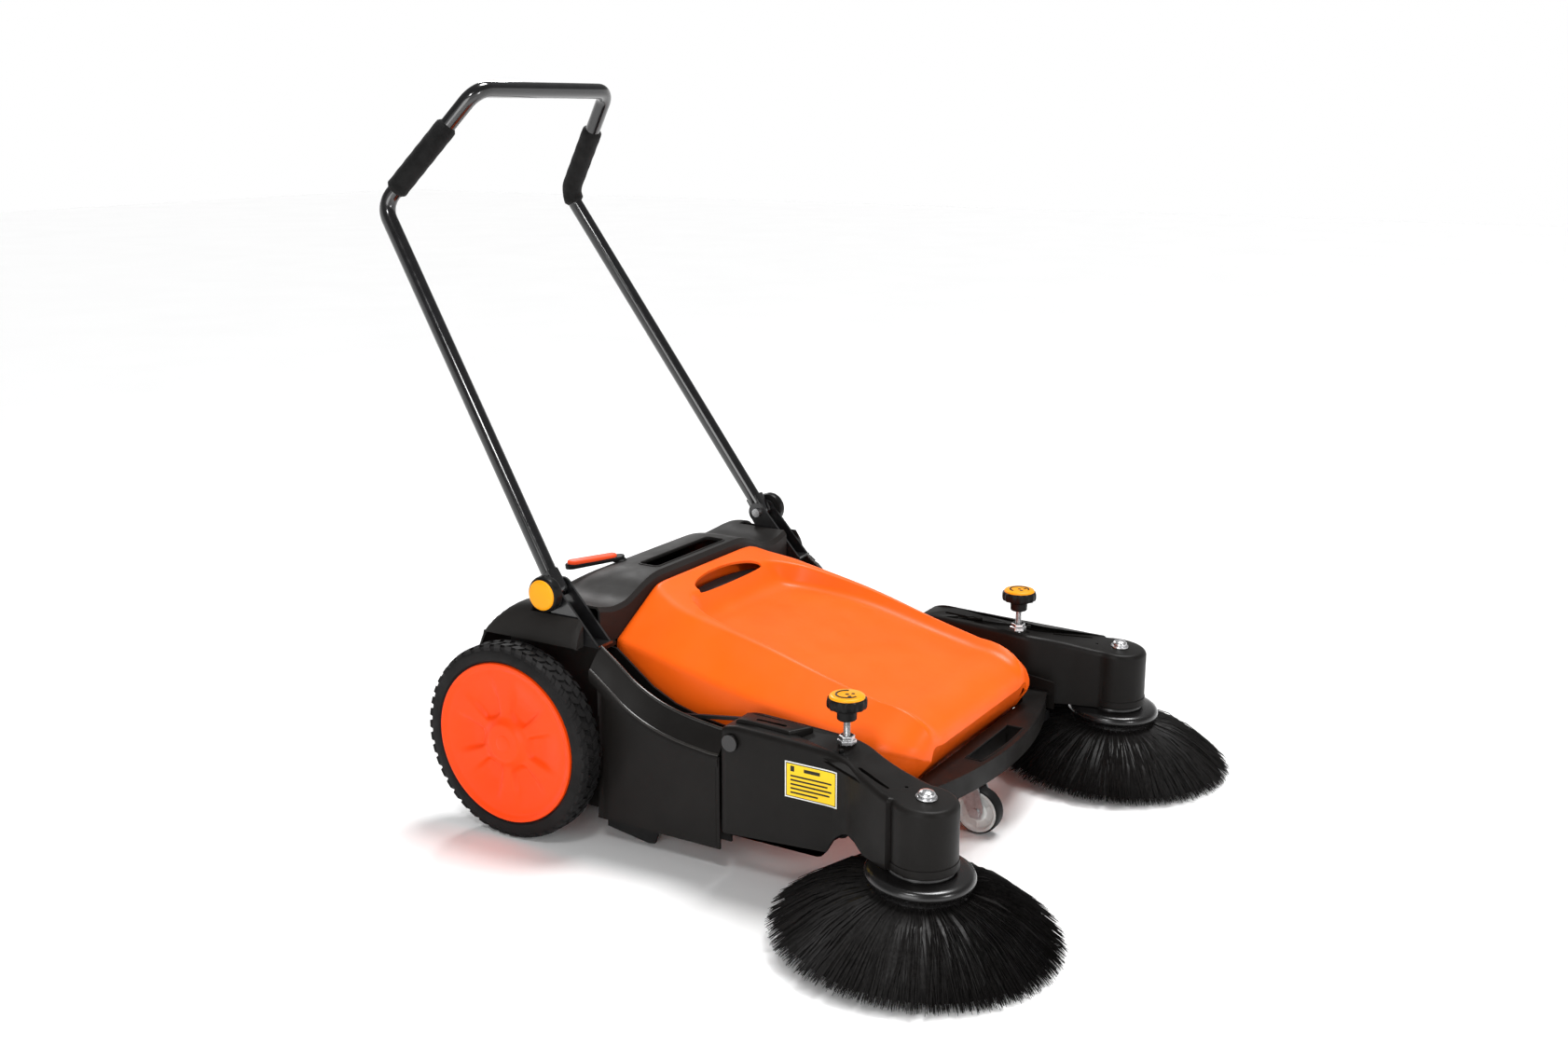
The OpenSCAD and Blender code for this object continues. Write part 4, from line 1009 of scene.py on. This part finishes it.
def side_panel(side, name):
    """Sloping band along the wheel arch with rolled edges, and the smooth outer panel under it."""
    top, low = rim_curve(0), rim_curve(28)
    rows = []
    for (y0, z0), (y1, z1) in zip(top, low):
        row = [(-297.5, y0, z0 - 2.5)]
        for k in range(9):
            t = k / 8
            lift = 2.6 + 1.4 * sin(pi * t)
            row.append((mix(-299.0, -327.5, t), mix(y0, y1, t), mix(z0, z1, t) + lift))
        row += [(-329.6, y1, z1 + 0.8), (-330.4, y1, z1 - 4), (-330.4, y1, z1 - 14)]
        rows.append(row)
    obj = piece("arch_band_" + name, *grid(rows), "chassis", "moulded_black", side, shade_angle=50)
    solidify(obj, 1.6, 0)
    panel = []
    for k in range(19):
        y = -131 - 208 * k / 18
        z_top = along([(-yy, zz) for yy, zz in low], -y) - 3
        turn_in = 5.5 * (1 - smooth(-(y + 130) / 9))
        row = [(-329.6 + turn_in, y, z) for z in (42.4, 60, 100, 140, 172)]
        row.append((-329.6 + turn_in, y, max(z_top, 176)))
        panel.append(row)
    body = piece("side_skin_" + name, *grid(panel), "chassis", "moulded_black", side, shade_angle=50)
    solidify(body, 1.4, 0)
    # round beads along the band's top and low edges in the lighter edge plastic, whose lighter colour is a
    # painted highlight
    for part, points, x, r in (("top", top, -299.6, 2.6), ("low", low, -327.6, 2.4)):
        path = [(x, y, z + 2.0) for y, z in points]
        solid(f"arch_bead_{part}_{name}", tube_along(path, r, 10), "chassis", "moulded_black", side,
              material=MATS["edge_gloss"])


def bumper_trim():
    """Rolled lip around the bumper's grip slot."""
    pts = []
    for k in range(25):
        x = -76 + 152 * k / 24
        pts.append((x, -645 + 704 - sqrt((704 - 9) ** 2 - x * x), 147))
    back = [(76 - 152 * k / 24, -606, 147) for k in range(25)]
    ring = [p for p in pts + back]
    for side, name in SIDES:
        web = prism([(-262, -480), (-251, -490), (-244, -518), (-236, -547), (-226, -561), (-212, -573),
                     (-194, -581), (0, -582), (0, -607), (-262, -600)], 141, 144)
        solid("bumper_web_" + name, web, "chassis", "moulded_black", side)
    solid("bumper_slot_rim", tube_along(ring, 1.6, 10, closed=True), "chassis", "moulded_black")


# ---- handle

FOOT, ELBOW, CORNER = (290, *CLAMP[1:]), (231, 330, 917), (164, 191, 1091)


def handle_path(side_sign):
    return [Vector((side_sign * p[0], p[1], p[2])) for p in (FOOT, ELBOW, CORNER)]


def handle():
    right, left = handle_path(-1), handle_path(1)
    # the tube swells out to the corners' balls in CAD; here each bend is a true arc
    full = rounded_path(right + list(reversed(left)), 34, 9)
    first, last = full[0], full[-1]
    up_r, up_l = (full[1] - first).normalized(), (full[-2] - last).normalized()
    path = [first + up_r * 16] + full[1:-1] + [last + up_l * 16]
    obj = solid("handle_tube_bent", tube_along(dense(path, 30), 12.5, 28), "handle", "tube_black",
                replaces=("handle_tube",), shade_angle=60)
    for s, name in SIDES:
        solid("handle_eye_" + name, flattened_end(s * FOOT[0]), "handle", "tube_black", shade_angle=40)
    for name, legs, start, stop in (("right", right, 28, 168), ("left", left, -20, 150)):
        curve = rounded_path(legs, 34, 9)
        grip_path = stretch_of(dense(curve, 5), legs, start, stop)
        length = len(grip_path) - 1

        def radius(t, n=length):
            edge = min(t, 1 - t) * n * 5
            return 12.6 + 4.4 * min(1.0, sqrt(max(edge, 0.02) / 4)) + 0.22 * sin(t * 37)
        solid("grip_foam_" + name, tube_along(grip_path, radius, 28), "handle", "foam",
              replaces=("grip_" + name,), shade_angle=60)


def dense(path, step):
    out = []
    for p, q in zip(path, path[1:]):
        p, q = Vector(p), Vector(q)
        count = max(1, ceil((q - p).length / step))
        out += [p.lerp(q, k / count) for k in range(count)]
    return out + [Vector(path[-1])]


def stretch_of(points, legs, start, stop):
    """The points whose way along the leg, counted from the elbow upwards, is between start and stop."""
    elbow = legs[1]
    up = (legs[2] - elbow).normalized()
    down = (legs[0] - elbow).normalized()
    out = []
    for p in points:
        a, b = (p - elbow).dot(up), (p - elbow).dot(down)
        station = a if a > b else -b
        if start <= station <= stop:
            out.append(p)
    return out


def flattened_end(x):
    """The tube's pressed lower end, a thick rounded tongue with the pivot in its middle."""
    tilt = Vector((0, ELBOW[1] - FOOT[1], ELBOW[2] - FOOT[2])).normalized()
    across = Vector((0, -tilt.z, tilt.y))
    ring = []
    r = 12.3
    for k in range(13):
        a = pi + pi * k / 12
        ring.append(tilt * (r * sin(a)) + across * (r * cos(a)))
    ring += [tilt * 30 + across * r, tilt * 30 - across * r]
    base = Vector((x, FOOT[1], FOOT[2]))
    rows = [[tuple(base + Vector((dx, 0, 0)) + v * s) for v in ring]
            for dx, s in ((-12.2, 0.86), (-11.2, 0.96), (-9, 1), (9, 1), (11.2, 0.96), (12.2, 0.86))]
    return join(grid(rows, close_v=True), cap(rows[0]), cap(list(reversed(rows[-1]))))


def clamps(side, name):
    """Knob and amber cap on each end of the handle's pivot."""
    knob = [(4.1, -308.2), (20, -308.2), (25.6, -309.2), (26.8, -311.4), (27, -314), (27, -320),
            (26.6, -322.6), (25.4, -324.6), (24.2, -325.4), (23.2, -325.9), (4.1, -325.9)]
    obj = solid("clamp_knob_body_" + name, turn(knob, CLAMP, "x", 96, 12, 0.35, 0, (4, 5)),
                "clamp_" + name, "knob_black", side, ("clamp_knob_" + name,), 40)
    disc = [(0.01, -329.7), (17, -329.5), (20.6, -329.0), (22.4, -327.8), (22.9, -326.2), (22.6, -325.6),
            (0.01, -325.6)]
    solid("clamp_cap_disc_" + name, turn(disc, CLAMP, "x", 64), "clamp_" + name, "cap_amber", side,
          ("clamp_cap_" + name,), 40)


# ---- height knobs

def height_knobs(side, name):
    x, y, _ = SPINDLE
    top = 298
    profile = [(5.2, top - 36), (12.4, top - 36), (13.6, top - 34.6), (13.8, top - 24), (15.5, top - 21.6),
               (22, top - 20), (26, top - 18.4), (27.4, top - 15.5), (27.5, top - 9), (26.6, top - 5.6),
               (25.2, top - 4.2), (5.2, top - 4.2)]
    obj = solid("height_knob_body_" + name, turn(profile, SPINDLE, "z", 112, 14, 0.7, 0, (6, 7, 8, 9)),
                "spindle_" + name, "knob_black", side, ("height_knob_" + name,), 34)
    cap_profile = [(0.01, top - 0.4), (20, top - 0.5), (23.4, top - 1.2), (24.6, top - 2.6),
                   (24.8, top - 4.1), (0.01, top - 4.1)]
    solid("height_cap_disc_" + name, turn(cap_profile, SPINDLE, "z", 64), "spindle_" + name, "cap_amber",
          side, ("height_cap_" + name,), 40)
    # plain raised arc and dots on the cap
    arc = [(x + 15 * cos(a), y + 15 * sin(a), top - 0.75)
           for a in (radians(20 + 10 * k) for k in range(25))]
    solid("height_cap_arc_" + name, tube_along(arc, 1.6, 8), "spindle_" + name, "knob_black", side,
          material=DARK_INK)
    dots = [turn([(0.01, top - 0.1), (2.6, top - 0.15), (3.1, top - 0.8)], (x + dx, y + dy, 0), "z", 16)
            for dx, dy in ((0, 0), (6, -6), (-6, -7))]
    solid("height_cap_dots_" + name, join(*dots), "spindle_" + name, "knob_black", side, material=DARK_INK)
    low, high = 148, top - 5
    pitch, r = 1.75, 5
    rows = []
    turns = int((high - low) / pitch)
    for i in range(turns * 2 + 1):
        z = low + i * pitch / 2
        rr = r if i % 2 else r - 0.75
        threaded = 150 < z < 262
        rows.append([(x + (rr if threaded else r - 0.1) * cos(a), y + (rr if threaded else r - 0.1) * sin(a),
                      min(z + pitch * k / 16 * (1 if threaded else 0), high))
                     for k, a in enumerate(2 * pi * k / 16 for k in range(16))])
    nut = [turn([(5.1, z0), (8.1, z0 + 0.4), (8.1, z1 - 0.4), (5.1, z1)], SPINDLE, "z", 6)
           for z0, z1 in ((145, 152), (157, 162))]
    shape = join(grid(rows, close_v=True), *nut)
    piece("spindle_rod_" + name, *shape, "spindle_" + name, "steel", side, ("height_spindle_" + name,), 50)


# ---- caster, lever, roller

def caster():
    y, z, w = -597, 35.6, 24
    profile = [(5.1, -w / 2), (9, -w / 2), (13.6, -w / 2 + 0.2), (14.6, -w / 2 + 1.6), (16.6, -w / 2 + 3.4),
               (25.4, -w / 2 + 4), (26.8, -w / 2 + 2.6), (28.4, -w / 2 + 0.4), (32.6, -w / 2 + 0.2)]
    tread = [(32.2, -w / 2 + 0.1), (33.8, -w / 2 + 0.6), (35.1, -w / 2 + 2.6), (35.5, -w / 2 + 6)]

    def mirrored(half):
        return half + [(a, -b) for a, b in reversed(half)]
    solid("caster_wheel_hub", turn(mirrored(profile), (0, y, z), "x", 64), "caster_wheel", "caster_grey",
          replaces=("caster_wheel",), shade_angle=34)
    solid("caster_tread", turn(mirrored(tread), (0, y, z), "x", 64), "caster_wheel", "tyre")
    ribs = [box((s * 8.2 - 0.9, y - 1.1, z + 13), (s * 8.2 + 0.9, y + 1.1, z + 27)) for s in (-1, 1)]
    spokes = []
    for k in range(6):
        spin = (Matrix.Translation((0, y, z)) @ Matrix.Rotation(pi / 3 * k, 4, "X")
                @ Matrix.Translation((0, -y, -z)))
        spokes += [moved(b, spin) for b in ribs]
    bevel(piece("caster_ribs", *join(*spokes), "caster_wheel", "caster_grey"), 0.5)


def lever():
    base = (Matrix.Translation((-84, 4, 364)) @ Matrix.Rotation(radians(147), 4, "Z")
            @ Matrix.Rotation(radians(4), 4, "Y"))

    def bar(length, half, low, high, radius, start=-9):
        ring = []
        for cx, a0 in ((length - half, -90), (start + half, 90)):
            for k in range(13):
                a = radians(a0 + 180 * k / 12)
                ring.append((cx + half * cos(a), half * sin(a)))
        def top(x, y):
            return high + 0.0009 * (x - 30) ** 2
        return moved(slab(ring, lambda x, y: low + radius * 0.4, top, radius, 4), base)
    arm_bar = bar(90, 10.5, -2, 4.2, 2.5)
    post = [(7, 236), (7, 358), (12.6, 359.7), (12.8, 361.5), (10, 364), (0.01, 364)]
    stem = join(turn(post, LEVER_POST, "z", 40),
                turn([(0.01, 232), (10.6, 232), (10.8, 238), (7, 238)], LEVER_POST, "z", 40))
    solid("lever_stem", join(stem, arm_bar), "height_lever", "knob_black", replaces=("height_lever",),
          shade_angle=40)
    solid("lever_pad", bar(86, 9.6, 3.6, 9.6, 3.6, 4), "height_lever", "lever_orange",
          replaces=("lever_grip",), shade_angle=40)


def roller_rows(rng):
    """Eight rows of bristle tufts around the main roller."""
    y, z = -70, 99
    verts, faces = [], []
    for row in range(8):
        for i in range(116):
            x = -230 + 4 * i + rng.uniform(-1, 1)
            a = radians(45 * row) + rng.gauss(0, 0.05)
            lean = rng.gauss(0, 0.05)
            n = Vector((0, cos(a), sin(a)))
            t = Vector((0, -sin(a), cos(a)))
            for _ in range(4):
                off = rng.uniform(-7, 7)
                foot = Vector((x + rng.uniform(-2, 2), y, z)) + n * 40 + t * off
                tip = Vector((foot.x + rng.uniform(-3, 3), y, z))
                tip += (n + t * (lean + off / 150)).normalized() * (95.6 - rng.uniform(0, 3))
                first = len(verts)
                for p, w in ((foot, 0.9), (tip, 0.45)):
                    verts += [tuple(p + Vector((w, 0, 0))), tuple(p + t * w), tuple(p - Vector((w, 0, 0)))]
                for c in range(3):
                    d = (c + 1) % 3
                    faces.append((first + c, first + d, first + d + 3, first + c + 3))
                faces.append((first + 3, first + 4, first + 5))
    piece("roller_strands", verts, faces, "main_roller", "bristle", replaces=("roller_bristles",),
          shade_angle=80)


# ---- assembly

SOFTENED = {
    "chassis_side_right": 1.4, "chassis_side_left": 1.4, "front_bumper": 3.2, "cross_members": 1.2,
    "handle_brackets": 1.2, "frame_screws": 0.8, "side_skirts": 1.5, "rear_flap": 1,
    "arm_pivot_pins": 0.8, "spindle_brackets": 0.7, "roller_carrier": 0.8, "roller_core": 1, "caster_fork": 0.7,
    "caster_axle": 0.6, "hopper_seal": 0.8, "hub_pulley_right": 0.6, "hub_pulley_left": 0.6,
}


def dress_cad_nodes():
    """Every CAD node that stays in view gets its slot's material and softened edges."""
    slots = {s["node"]: s["material_slot"] for s in frame["record"]["subparts"]}
    for name, obj in frame["nodes"].items():
        obj.data.materials.clear()
        obj.data.materials.append(MATS["hub_gloss" if name == "arm_pivot_pins" else slots[name]])
        if name in SOFTENED:
            bevel(obj, SOFTENED[name], 3 if SOFTENED[name] > 2 else 2)


def build():
    rng = random.Random(7)
    hopper()
    for side, name in SIDES:
        tyre(side, name)
        rim(side, name)
        brush_hub(side, name)
        brush_bristles(side, name, rng)
        arm(side, name)
        arm_fittings(side, name)
        side_panel(side, name)
        clamps(side, name)
        height_knobs(side, name)
    label()
    rear_cover()
    bumper_trim()
    handle()
    caster()
    lever()
    roller_rows(rng)


studio()
dress_cad_nodes()
build()
